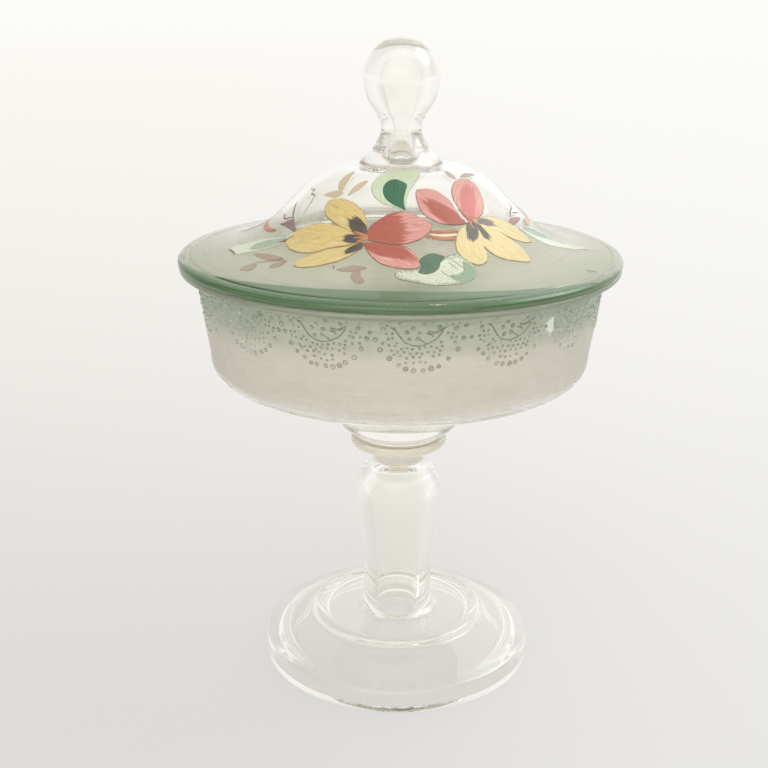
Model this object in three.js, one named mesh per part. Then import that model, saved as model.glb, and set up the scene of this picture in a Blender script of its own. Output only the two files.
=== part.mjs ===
// Covered candy dish of blown and enamelled glass, in millimetres, +Z up.
// Origin: the centre of the foot, on the plane that it stands on.
// The stand is five pieces of glass fused end to end: foot, stem, neck button, wafer and bowl.
// The cover is a dome with a wide flange, fused to a hollow knob, and it lifts off the bowl.
// Outlines are lists of stations, each a radius and a height, with rounds and walls added by formula.
import * as THREE from 'three';

// Heights at which the pieces meet, from the table up
const STEM_SEAT_Z = 20.3;
const BUTTON_BOTTOM_Z = 88.6;
const WAFER_BOTTOM_Z = 95.4;
const BOWL_BOTTOM_Z = 101.2;
const LID_SEAT_Z = 175.6;
const KNOB_SEAT_Z = 214.3;
const KNOB_TOP_Z = 262;

// Facets round the axis
const WIDE_FACETS = 48;
const SLIM_FACETS = 36;

// Foot: a stepped disc, blown hollow
const FOOT_RADIUS = 57.7;
const FOOT_REST_INNER_RADIUS = 49.5;
const FOOT_REST_ROUND = 0.9;
const FOOT_SIDE_HEIGHT = 8;
const FOOT_SHOULDER_ROUND = 2.3;
const FOOT_SHOULDER_END_ANGLE = 66;
const FOOT_SLOPE = [[47.5, 14.2], [38.6, 17.4]];
const STEP_CREST = [34.2, 21.1];
const STEP_EDGE_WIDTH = 3;
const STEP_EDGE_HEIGHT = 2.6;
const STEP_DISH_RADIUS = 29.8;
const FOOT_CEILING_Z = 16.9;
const FOOT_HOLLOW = [[28, 16.6], [33.5, 14.5], [41, 10.6], [46, 7], [48, 2.5]];

// Stem: a hollow baluster, widest at the shoulder, with a blown bore that opens below
const STEM_BASE_RADIUS = 17.4;
const STEM_TOP_RADIUS = 10.9;
const STEM_OUTLINE = [
  [15, 23.4], [14.5, 32], [15.2, 47], [16.8, 62], [17.8, 73], [18, 79], [16.1, 84], [12.6, 86.6],
];
const STEM_BORE_MOUTH_RADIUS = 8.9;
const STEM_BORE = [[0, 83.2], [6.4, 82.2], [10.6, 78], [11.6, 70], [10, 52], [8.9, 34]];

// Neck button and wafer between stem and bowl
const BUTTON_RADIUS = 10.7;
const BUTTON_BULGE = 0.5;
const WAFER_RADIUS = 20.2;
const WAFER_FLAT_RADIUS = 16.8;

// Bowl: a deep tub on a funnel, with a rolled-out lip
const BOWL_FUNNEL = [[17.9, BOWL_BOTTOM_Z], [23.3, 104.4], [27.2, 110.4], [33, 117.4], [42, 123.2]];
const BOWL_CORNER = [77.5, 140.3];
const BOWL_CORNER_WIDTH = 25;
const BOWL_CORNER_HEIGHT = 14.2;
const BOWL_CORNER_POWER = 2.7;
const BOWL_WALL_OUTLINE = [[79.3, 151.5], [81.3, 167.5], [82.3, 170.6]];
const BOWL_WALL = 2.8;
const BOWL_FLOOR = [[42, 127.4], [26, 121.4], [0, 116]];
const BOWL_MOUTH_CHAMFER = [1.2, 1.6];
const LIP_RADIUS = 88.6;
const LIP_ROOT_RADIUS = 84.2;
const LIP_THICKNESS = 2.3;
const LIP_ROUND = 1.1;

// Lid: bell dome, sloping flange, rounded edge with a groove inside it, and a ring that drops into the bowl
const LID_RADIUS = 89;
const LID_EDGE_TOP_Z = 179.5;
const LID_EDGE_MIDDLE_Z = 177.1;
const LID_EDGE_ROUND = 3.8;
const LID_SEAT_ROUND = 1.6;
const LID_GROOVE = [84.5, 179.1];
const LID_WALL = 2.8;
const LID_FLANGE_AND_DOME = [
  [83.8, 179.7], [75, 181.2], [67, 183.2], [60, 186.1], [53, 190.7],
  [44, 199.2], [37, 206.1], [30, 210.9], [23, 213.6],
];
const LID_HOLE_RADIUS = 5.4;
const LID_CROWN_WALL = 3;
const LID_RING_RADIUS = 77.2;
const LID_RING_WALL = 2.6;
const LID_RING_DEPTH = 5.2;
const LID_RING_ROOT_Z = 178.1;
const LID_RING_LEAD = 0.6;

// Knob: a blown ball on a flared neck, with a hollow that follows it and opens below into the dome
const KNOB_FLARE_RADIUS = 16.6;
const KNOB_OUTLINE = [
  [13.3, 217.8], [10.1, 221.6], [7.9, 227.2], [9.6, 232.6], [13, 238.2],
  [15, 246.6], [13.7, 253], [10, 258.4], [5.2, 261.2],
];
const KNOB_HOLLOW = [[0, 255], [5.4, 252.4], [7.6, 246.6], [6, 239.4], [2.9, 231.2], [2.7, 224]];

// Colours of the glass, clear or stained
const CLEAR = 0xe9ece6;
const WARM_CLEAR = 0xe3dfd0;
const STAINED_BOWL = 0xbcc7ac;
const STAINED_LID = 0xc2c9b0;

const vec = (r, z) => new THREE.Vector2(r, z);

const points = (stations) => stations.map(([r, z]) => vec(r, z));

// A smooth outline through the stations
function through(stations, steps) {
  return new THREE.SplineCurve(points(stations)).getPoints(steps);
}

// A stretch of an ellipse about (r, z), from angle a to angle b in degrees, 0 pointing outwards and 90 up
function round(r, z, halfWidth, halfHeight, a, b, steps) {
  return Array.from({ length: steps + 1 }, (_, i) => {
    const angle = THREE.MathUtils.degToRad(a + ((b - a) * i) / steps);
    return vec(r + halfWidth * Math.cos(angle), z + halfHeight * Math.sin(angle));
  });
}

// An outline's inner face: each point moved square to the outline by the wall's thickness
function innerFace(outline, wall) {
  return outline.map((point, i) => {
    const before = outline[Math.max(i - 1, 0)];
    const after = outline[Math.min(i + 1, outline.length - 1)];
    const along = after.clone().sub(before).normalize();
    return vec(point.x - along.y * wall, point.y + along.x * wall);
  });
}

// Turns an outline about the Z axis: up the outside and down the inside, or from the axis back to it
function turned(name, outline, facets, color, roughness) {
  const startsOnAxis = outline[0].x === 0;
  const closed = startsOnAxis ? outline : [...outline, outline[0].clone()];
  const geometry = new THREE.LatheGeometry(closed, facets);
  geometry.rotateX(Math.PI / 2);
  const material = new THREE.MeshStandardMaterial({ color, roughness, metalness: 0 });
  const mesh = new THREE.Mesh(geometry, material);
  mesh.name = name;
  return mesh;
}

// Foot: rest ring, upright side, sloping top, raised step with a shallow dish, and the hollow below
function makeFoot() {
  const restEdge = round(FOOT_RADIUS - FOOT_REST_ROUND, FOOT_REST_ROUND,
    FOOT_REST_ROUND, FOOT_REST_ROUND, -90, 0, 2);
  const shoulder = round(FOOT_RADIUS - FOOT_SHOULDER_ROUND, FOOT_SIDE_HEIGHT,
    FOOT_SHOULDER_ROUND, FOOT_SHOULDER_ROUND, 0, FOOT_SHOULDER_END_ANGLE, 3);
  const [crestRadius, crestZ] = STEP_CREST;
  const step = round(crestRadius, crestZ - STEP_EDGE_HEIGHT, STEP_EDGE_WIDTH, STEP_EDGE_HEIGHT, 8, 90, 3);
  const shell = [
    ...restEdge,
    ...shoulder,
    ...points(FOOT_SLOPE),
    ...step,
    vec(STEP_DISH_RADIUS, STEM_SEAT_Z),
    vec(STEM_BORE_MOUTH_RADIUS, STEM_SEAT_Z),
    vec(STEM_BORE_MOUTH_RADIUS, FOOT_CEILING_Z),
    ...points(FOOT_HOLLOW),
    vec(FOOT_REST_INNER_RADIUS, 0),
  ];
  return turned('foot', shell, WIDE_FACETS, CLEAR, 0.08);
}

// Stem: flared base, slender waist and full shoulder round the bore
function makeStem() {
  const bore = through([...STEM_BORE, [STEM_BORE_MOUTH_RADIUS, STEM_SEAT_Z]], 9);
  const outside = through([
    [STEM_BASE_RADIUS, STEM_SEAT_Z],
    ...STEM_OUTLINE,
    [STEM_TOP_RADIUS, BUTTON_BOTTOM_Z],
  ], 15);
  const shell = [...bore, ...outside, vec(0, BUTTON_BOTTOM_Z)];
  return turned('stem', shell, SLIM_FACETS, CLEAR, 0.08);
}

// Neck button: a short solid drum with a slight bulge
function makeNeckButton() {
  const halfHeight = (WAFER_BOTTOM_Z - BUTTON_BOTTOM_Z) / 2;
  const side = round(BUTTON_RADIUS - BUTTON_BULGE, BUTTON_BOTTOM_Z + halfHeight,
    BUTTON_BULGE, halfHeight, -90, 90, 4);
  const solid = [vec(0, BUTTON_BOTTOM_Z), ...side, vec(0, WAFER_BOTTOM_Z)];
  return turned('neck_button', solid, SLIM_FACETS, WARM_CLEAR, 0.08);
}

// Wafer: a solid disc with a full round edge
function makeWafer() {
  const halfHeight = (BOWL_BOTTOM_Z - WAFER_BOTTOM_Z) / 2;
  const edge = round(WAFER_FLAT_RADIUS, WAFER_BOTTOM_Z + halfHeight,
    WAFER_RADIUS - WAFER_FLAT_RADIUS, halfHeight, -90, 90, 6);
  const solid = [vec(0, WAFER_BOTTOM_Z), ...edge, vec(0, BOWL_BOTTOM_Z)];
  return turned('wafer', solid, SLIM_FACETS, WARM_CLEAR, 0.08);
}

// The bowl's turn from floor to wall: a squarish ellipse, walked from the floor up
function bowlCorner(steps) {
  const [wallRadius, topZ] = BOWL_CORNER;
  const power = 2 / BOWL_CORNER_POWER;
  return Array.from({ length: steps + 1 }, (_, i) => {
    const angle = (Math.PI / 2) * (1 - i / steps);
    return vec(wallRadius - BOWL_CORNER_WIDTH * (1 - Math.cos(angle) ** power),
      topZ - BOWL_CORNER_HEIGHT * Math.sin(angle) ** power);
  });
}

// Bowl: funnel, floor, tub wall that opens a little, rolled-out lip, then the inside surface
function makeBowl() {
  const corner = bowlCorner(6);
  const floorEdge = corner[0].toArray();
  const wall = through([BOWL_CORNER, ...BOWL_WALL_OUTLINE], 4).slice(1);
  const lipEdge = round(LIP_RADIUS - LIP_ROUND, LID_SEAT_Z - LIP_THICKNESS / 2,
    LIP_ROUND, LIP_THICKNESS / 2, -72, 90, 4);
  const tub = innerFace([...bowlCorner(5), ...wall.slice(0, -1)], BOWL_WALL).reverse();
  const [chamferWidth, chamferDepth] = BOWL_MOUTH_CHAMFER;
  const mouth = [
    vec(tub[0].x + chamferWidth, LID_SEAT_Z),
    vec(tub[0].x, LID_SEAT_Z - chamferDepth),
  ];
  const shell = [
    vec(0, BOWL_BOTTOM_Z),
    ...through([...BOWL_FUNNEL, floorEdge], 8),
    ...corner.slice(1),
    ...wall,
    vec(LIP_ROOT_RADIUS, LID_SEAT_Z - LIP_THICKNESS),
    ...lipEdge,
    ...mouth,
    ...tub,
    ...through(BOWL_FLOOR, 4),
  ];
  return turned('bowl', shell, WIDE_FACETS, STAINED_BOWL, 0.3);
}

// Lid: seat, rounded edge, groove, flange and dome, the hole below the knob, underside and locating ring
function makeLid() {
  const seatEdge = round(LID_RADIUS - LID_SEAT_ROUND, LID_EDGE_MIDDLE_Z,
    LID_SEAT_ROUND, LID_EDGE_MIDDLE_Z - LID_SEAT_Z, -90, 0, 2);
  const topEdge = round(LID_RADIUS - LID_EDGE_ROUND, LID_EDGE_MIDDLE_Z,
    LID_EDGE_ROUND, LID_EDGE_TOP_Z - LID_EDGE_MIDDLE_Z, 20, 90, 3);
  const top = through([...LID_FLANGE_AND_DOME, [KNOB_FLARE_RADIUS, KNOB_SEAT_Z]], 14);
  const ringInnerRadius = LID_RING_RADIUS - LID_RING_WALL;
  const underside = innerFace(top, LID_WALL).filter((point) => point.x < ringInnerRadius).reverse();
  const shell = [
    ...seatEdge,
    ...topEdge,
    vec(...LID_GROOVE),
    ...top,
    vec(LID_HOLE_RADIUS, KNOB_SEAT_Z),
    vec(LID_HOLE_RADIUS, KNOB_SEAT_Z - LID_CROWN_WALL),
    ...underside,
    vec(ringInnerRadius, LID_RING_ROOT_Z),
    vec(ringInnerRadius, LID_SEAT_Z - LID_RING_DEPTH),
    vec(LID_RING_RADIUS - LID_RING_LEAD, LID_SEAT_Z - LID_RING_DEPTH),
    vec(LID_RING_RADIUS, LID_SEAT_Z),
  ];
  return turned('lid', shell, WIDE_FACETS, STAINED_LID, 0.35);
}

// Knob: flared neck, pinched waist and ball round the hollow
function makeKnob() {
  const outside = through([
    [KNOB_FLARE_RADIUS, KNOB_SEAT_Z],
    ...KNOB_OUTLINE,
    [0, KNOB_TOP_Z],
  ], 18);
  const hollow = through([...KNOB_HOLLOW, [LID_HOLE_RADIUS, KNOB_SEAT_Z]], 9);
  return turned('lid_knob', [...hollow, ...outside], SLIM_FACETS, CLEAR, 0.06);
}

const stand = new THREE.Group();
stand.add(makeFoot(), makeStem(), makeNeckButton(), makeWafer(), makeBowl());

const cover = new THREE.Group();
cover.add(makeLid(), makeKnob());

const group = new THREE.Group();
group.add(stand, cover);

export default group;
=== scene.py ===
"""Covered candy dish of blown, stained and enamelled glass, set on a pale table.

All sizes are in millimetres until a mesh is written, then in metres.  Outlines of the turned glass are
lists of stations, each a radius and a height; the painted ornament on the lid is drawn in plan, as seen
from above, and laid on the dome; the dotted lace on the bowl is drawn as arc length and height.
"""

from __future__ import annotations

import logging
import math
from dataclasses import dataclass
from enum import Enum
from typing import Iterable, Sequence, TypeAlias

import bpy
import numpy as np
from mathutils import Matrix, Vector

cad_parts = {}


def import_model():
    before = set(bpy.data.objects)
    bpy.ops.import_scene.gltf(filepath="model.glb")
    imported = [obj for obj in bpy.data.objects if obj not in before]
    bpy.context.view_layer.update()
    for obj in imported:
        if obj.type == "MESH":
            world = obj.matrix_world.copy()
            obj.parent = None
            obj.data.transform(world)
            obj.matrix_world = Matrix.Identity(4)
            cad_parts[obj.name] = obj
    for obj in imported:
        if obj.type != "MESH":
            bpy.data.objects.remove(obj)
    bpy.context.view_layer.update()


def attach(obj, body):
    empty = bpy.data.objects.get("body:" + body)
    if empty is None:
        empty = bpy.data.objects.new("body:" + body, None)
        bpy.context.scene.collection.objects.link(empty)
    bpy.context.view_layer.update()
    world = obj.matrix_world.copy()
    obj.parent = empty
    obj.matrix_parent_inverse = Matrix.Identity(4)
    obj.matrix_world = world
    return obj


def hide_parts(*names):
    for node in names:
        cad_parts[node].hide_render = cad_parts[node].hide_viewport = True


log = logging.getLogger("candy_dish")

MM = 0.001
BRUSH = "brush"
ON_AXIS = 1e-6
SAME_PLACE = 1e-4
GLASS_BOUNCES = 96
DIFFUSE_BOUNCES = 12

Stations: TypeAlias = Sequence[tuple[float, float]]
Span: TypeAlias = tuple[float, float]
Color: TypeAlias = tuple[float, float, float, float]
Object: TypeAlias = bpy.types.Object
Material: TypeAlias = bpy.types.Material
Socket: TypeAlias = bpy.types.NodeSocket
Value: TypeAlias = "Signal | float"


class Body(Enum):
    """The two bodies of the dish that move apart."""

    STAND = "stand"
    COVER = "cover"


class Slot(Enum):
    """The record's material slots."""

    CLEAR = "clear_glass"
    WARM = "warm_glass"
    BOWL = "bowl_stained_glass"
    LID = "lid_stained_glass"
    ENAMEL = "painted_enamel"


def srgb(red: float, green: float, blue: float) -> Color:
    """Turns a colour given as 0 to 255 into the linear colour that shaders take.

    Args:
        red: Red from 0 to 255.
        green: Green from 0 to 255.
        blue: Blue from 0 to 255.

    Returns:
        Linear red, green, blue and a full alpha.
    """

    def linear(value: float) -> float:
        """Undoes the display's curve for one channel."""
        part = value / 255
        return part / 12.92 if part <= 0.04045 else ((part + 0.055) / 1.055) ** 2.4

    return (linear(red), linear(green), linear(blue), 1.0)


# Shader building


GLASS_IOR = 1.5
COAT_ROUGHNESS = 0.07


@dataclass(frozen=True)
class Grain:
    """The grain of a smooth noise.

    Args:
        blots: How many blots there are to one unit of each of the three measures that it is read at.
        detail: How many finer grains are laid over the blots.
        roughness: How strongly the finer grains show.
    """

    blots: tuple[float, float, float]
    detail: float = 3.0
    roughness: float = 0.55


class Signal:
    """One shader value, which adds, multiplies and compares like a number."""

    def __init__(self, shader: Shader, socket: Socket) -> None:
        """Keeps the socket that gives the value, and the shader that it belongs to."""
        self.shader = shader
        self.socket = socket

    def _math(self, operation: str, *values: Value) -> Signal:
        """Adds a Math node on those values and returns its result."""
        node = self.shader.node("ShaderNodeMath", {"operation": operation}, dict(enumerate(values)))
        return Signal(self.shader, node.outputs[0])

    def __add__(self, other: Value) -> Signal:
        """Returns this value plus another."""
        return self._math("ADD", self, other)

    __radd__ = __add__

    def __sub__(self, other: Value) -> Signal:
        """Returns this value less another."""
        return self._math("SUBTRACT", self, other)

    def __rsub__(self, other: Value) -> Signal:
        """Returns another value less this one."""
        return self._math("SUBTRACT", other, self)

    def __mul__(self, other: Value) -> Signal:
        """Returns this value times another."""
        return self._math("MULTIPLY", self, other)

    __rmul__ = __mul__

    def __truediv__(self, other: Value) -> Signal:
        """Returns this value over another."""
        return self._math("DIVIDE", self, other)

    def __rtruediv__(self, other: Value) -> Signal:
        """Returns another value over this one."""
        return self._math("DIVIDE", other, self)

    def root(self) -> Signal:
        """Returns the square root."""
        return self._math("SQRT", self)

    def size(self) -> Signal:
        """Returns the value without its sign."""
        return self._math("ABSOLUTE", self)

    def at_most(self, other: Value) -> Signal:
        """Returns the smaller of this value and another."""
        return self._math("MINIMUM", self, other)

    def at_least(self, other: Value) -> Signal:
        """Returns the larger of this value and another."""
        return self._math("MAXIMUM", self, other)

    def rise(self, start: Value, end: Value) -> Signal:
        """Grows from 0 to 1 as a smooth step, 3 t squared less 2 t cubed.

        Args:
            start: Where it leaves 0.
            end: Where it reaches 1; the step falls where this is below start.

        Returns:
            The step.
        """
        settings = {"interpolation_type": "SMOOTHSTEP", "clamp": True}
        ends = {"Value": self, "From Min": start, "From Max": end, "To Min": 0.0, "To Max": 1.0}
        return Signal(self.shader, self.shader.node("ShaderNodeMapRange", settings, ends).outputs[0])

    def near(self, middle: float, reach: Span) -> Signal:
        """Returns 1 near a middle and 0 away from it; reach holds the distances where it is 0 and 1."""
        return (self - middle).size().rise(*reach)


class Shader:
    """Builds one material or the world."""

    def __init__(self, tree: bpy.types.NodeTree, material: Material | None = None) -> None:
        """Empties a node tree to build in it."""
        self.tree = tree
        self.material = material
        self.tree.nodes.clear()

    @classmethod
    def for_material(cls, name: str) -> Shader:
        """Makes an empty material of that name and returns its builder."""
        material = bpy.data.materials.new(name)
        material.use_nodes = True
        return cls(material.node_tree, material)

    def node(self, kind: str, settings: dict | None = None, values: dict | None = None) -> bpy.types.Node:
        """Adds a node.

        Args:
            kind: Blender's name for the node type.
            settings: Properties of the node to set.
            values: Input values by socket name or number; a Signal or a socket is linked, the rest is set.

        Returns:
            The new node.
        """
        made = self.tree.nodes.new(kind)
        for key, value in (settings or {}).items():
            setattr(made, key, value)
        for key, value in (values or {}).items():
            socket = made.inputs[key]
            source = value.socket if isinstance(value, Signal) else value
            if isinstance(source, bpy.types.NodeSocket):
                self.tree.links.new(source, socket)
            else:
                socket.default_value = source
        return made

    def parts(self, vector: Socket) -> tuple[Signal, Signal, Signal]:
        """Returns the three parts of a vector."""
        node = self.node("ShaderNodeSeparateXYZ", None, {0: vector})
        return tuple(Signal(self, out) for out in node.outputs)

    def position(self) -> tuple[Signal, Signal, Signal]:
        """Returns x, y and z in the object's own frame, in millimetres."""
        place = self.node("ShaderNodeTexCoord").outputs["Object"]
        return tuple(part * (1 / MM) for part in self.parts(place))

    def ring(self, x: Signal, y: Signal) -> tuple[Signal, Signal, Signal]:
        """Returns a place's radius in mm, the root of x squared and y squared, and x and y over it."""
        radius = (x * x + y * y).root().at_least(1.0)
        return radius, x / radius, y / radius

    def brush(self) -> tuple[Signal, Signal, Signal]:
        """Returns a painted patch's own measures in mm: along its stroke, across it and in from its edge."""
        return self.parts(self.node("ShaderNodeAttribute", {"attribute_name": BRUSH}).outputs["Vector"])

    def ray(self, kind: str) -> Signal:
        """Returns 1 where light is followed by that kind of ray, such as Camera, and otherwise 0."""
        return Signal(self, self.node("ShaderNodeLightPath").outputs[f"Is {kind} Ray"])

    def noise(self, grain: Grain, *place: Value) -> Signal:
        """Reads a smooth noise of values round 0.5.

        Args:
            grain: Its grain.
            place: The three measures to read it at; a plain number picks one slice of the pattern.

        Returns:
            The noise.
        """
        scaled = {axis: value * blots for axis, (value, blots) in enumerate(zip(place, grain.blots))}
        vector = self.node("ShaderNodeCombineXYZ", None, scaled).outputs[0]
        noise = self.node("ShaderNodeTexNoise", None, {
            "Vector": vector, "Scale": 1.0, "Detail": grain.detail, "Roughness": grain.roughness})
        return Signal(self, noise.outputs["Fac"])

    def swing(self, grain: Grain, *place: Value) -> Signal:
        """Reads a noise as it swings about 0, by at most a half each way."""
        return self.noise(grain, *place) - 0.5

    def blend(self, factor: Value, low: Signal | Color, high: Signal | Color) -> Signal:
        """Returns a colour that goes from low to high as factor goes from 0 to 1."""
        settings = {"data_type": "RGBA", "clamp_factor": True}
        return Signal(self, self.node("ShaderNodeMix", settings, {0: factor, 6: low, 7: high}).outputs[2])

    def bump(self, height: Signal, strength: float, distance: float) -> Socket:
        """Returns a normal disturbed by a height."""
        return self.node("ShaderNodeBump", None, {
            "Height": height, "Strength": strength, "Distance": distance}).outputs[0]

    def principled(self, values: dict) -> Socket:
        """Adds the main surface shader and returns its output."""
        return self.node("ShaderNodeBsdfPrincipled", None, values).outputs[0]

    def satin(self, color: Signal, roughness: float, through: Value, backlight: Color,
              gloss: float) -> Socket:
        """Adds a satin wash, part of whose light comes through from behind.

        Args:
            color: Colour of the wash from the front.
            roughness: Its roughness.
            through: Share of its light that comes through.
            backlight: Colour of the light that comes through.
            gloss: Weight of the clear coat over it.

        Returns:
            The surface.
        """
        front = self.principled({"Base Color": color, "Roughness": roughness, "IOR": GLASS_IOR,
                                 "Coat Weight": gloss, "Coat Roughness": COAT_ROUGHNESS})
        back = self.node("ShaderNodeBsdfTranslucent", None, {"Color": backlight}).outputs[0]
        return self.mix(through, front, back)

    def mix(self, factor: Value, low: Socket, high: Socket) -> Socket:
        """Returns a surface that goes from low to high as factor goes from 0 to 1."""
        return self.node("ShaderNodeMixShader", None, {0: factor, 1: low, 2: high}).outputs[0]

    def surface(self, output: Socket) -> Material:
        """Ends the material with that surface and returns it."""
        self.node("ShaderNodeOutputMaterial", None, {"Surface": output})
        return self.material


# Finishes

# In the fields below a Span says where something begins and where it is full: _z in mm of height, _radius
# in mm, _profile in mm of radius less height, _level in noise, and _x and _y as parts of the radius, to the
# right and away.  A _share says how strong a colour or mark is, a _start how much of it there is anyway.


def mixture(shares: Sequence[float], values: Iterable[Signal], start: Value) -> Signal:
    """Adds values, each times its share, to a start.

    Args:
        shares: The values' shares.
        values: What is added.
        start: What it is added to.

    Returns:
        The sum.
    """
    for share, value in zip(shares, values):
        start = start + value * share
    return start


@dataclass(frozen=True)
class GlassFinish:
    """Polished glass.

    Args:
        name: Material name.
        tint: Colour that light takes on its way through.
        ripple: Strength of the slight waves that blown glass has.
    """

    name: str
    tint: Color
    ripple: float = 0.0
    ripple_depth: float = 0.002
    waves: Grain = Grain((0.06, 0.06, 0.025), 1.5)

    def output(self, shader: Shader) -> Socket:
        """Adds this glass to a shader.

        Args:
            shader: The builder of the material that it goes in.

        Returns:
            The glass surface.
        """
        values = {"Base Color": self.tint, "Roughness": 0.0, "IOR": GLASS_IOR, "Transmission Weight": 1.0}
        if self.ripple:
            waves = shader.noise(self.waves, *shader.position())
            values["Normal"] = shader.bump(waves, self.ripple, self.ripple_depth)
        return shader.principled(values)

    def material(self) -> Material:
        """Builds the material."""
        shader = Shader.for_material(self.name)
        return shader.surface(self.output(shader))


class FusedFinish:
    """The inside of a joint, where two pieces are melted together and light passes straight on."""

    name = "fused_joint"
    tint = srgb(250, 250, 248)

    def material(self) -> Material:
        """Builds the material."""
        shader = Shader.for_material(self.name)
        return shader.surface(shader.principled({"Base Color": self.tint, "Alpha": 0.0}))


@dataclass(frozen=True)
class BowlStain:
    """A satin wash on the bowl that fades from green at the lip through beige to clear at the floor.

    Attributes:
        glass: The clear glass below.
        green: Colour below the lip.
        sage: Colour behind the lace.
        beige: Colour below the lace.
        cream: Colour of the streaks where the wash is thin.
        brown: Colour of the old stains low on the wall.
        side: Colour below the lip at both sides, a greener and darker tone laid there as painted shade of the
            bowl's limbs.
        lip: Colour of the painted shadow that the lid casts on the bowl's lip and just under the rim, at the
            front.
        backlight: Colour of the light that comes through.
        wander: How far clouds, streaks and dabs shift the colours up and down, in mm.
        edge_wander: How far they shift the wash's lower edge, in mm.
    """

    glass: GlassFinish
    green: Color
    sage: Color
    beige: Color
    cream: Color
    brown: Color
    side: Color
    lip: Color
    backlight: Color
    clear_z = (129.5, 138.5)
    sage_z = (155.0, 162.0)
    green_z = (163.0, 175.0)
    side_x = (0.4, 0.85)
    limb_shade_z = (150.0, 168.0)
    limb_shade_share = 0.6
    lip_shadow_front = ((171.0, 172.4), (-0.86, -0.96))
    lip_shadow_beside = ((172.6, 173.6), (-0.4, -0.6))
    lip_shadow_share = 0.6
    stain_z = (160.0, 142.0)
    stain_level = (0.56, 0.74)
    stain_share = 0.34
    clouds = Grain((2.6, 2.6, 0.07), 2.0)
    streaks = Grain((2.2, 2.2, 0.9), 5.0, 0.65)
    dabs = Grain((15.0, 15.0, 0.16), 4.0, 0.6)
    grit = Grain((60.0, 60.0, 1.1), 2.0)
    stains = Grain((7.0, 7.0, 0.3), 5.0)
    wander = (5.0, 4.0, 6.0)
    edge_wander = (5.0, 4.0, 2.0)
    cream_shares = (1.5, 1.3, 0.5)
    cream_start = 0.1
    cover: float = 0.84
    cover_shares = (0.25, 0.2)
    see_through = 0.52
    roughness = 0.4
    gloss = 0.9

    def material(self) -> Material:
        """Builds the material."""
        shader = Shader.for_material("bowl_stain")
        x, y, z = shader.position()
        _, ring_x, ring_y = shader.ring(x, y)
        grains = (self.clouds, self.streaks, self.dabs, self.grit)
        cloud, streak, dab, grit = (shader.swing(grain, ring_x, ring_y, z) for grain in grains)
        level = mixture(self.wander, (cloud, streak, dab), z)
        color = shader.blend(level.rise(*self.sage_z), self.beige, self.sage)
        color = shader.blend(level.rise(*self.green_z), color, self.green)
        thin = mixture(self.cream_shares, (streak, dab, grit), self.cream_start)
        color = shader.blend(thin, color, self.cream)
        # Painted shade: below the lip the wash turns greener and darker towards both sides, where the wall
        # turns away from the front.
        aside = ring_x.size().rise(*self.side_x) * z.rise(*self.limb_shade_z)
        color = shader.blend(aside * self.limb_shade_share, color, self.side)
        # Painted shadow of the lid: the lip and the strip just under the rim turn dark green at the front and
        # a little way to each side.
        zones = (self.lip_shadow_front, self.lip_shadow_beside)
        front, beside = (z.rise(*height) * ring_y.rise(*reach) for height, reach in zones)
        color = shader.blend(front.at_least(beside) * self.lip_shadow_share, color, self.lip)
        stain = shader.noise(self.stains, ring_x, ring_y, z).rise(*self.stain_level)
        color = shader.blend(stain * z.rise(*self.stain_z) * self.stain_share, color, self.brown)
        satin = shader.satin(color, self.roughness, self.see_through, self.backlight, self.gloss)
        cover = mixture(self.cover_shares, (streak, dab), self.cover).at_most(1.0)
        cover = mixture(self.edge_wander, (cloud, streak, dab), z).rise(*self.clear_z) * cover
        return shader.surface(shader.mix(cover, self.glass.output(shader), satin))


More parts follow.
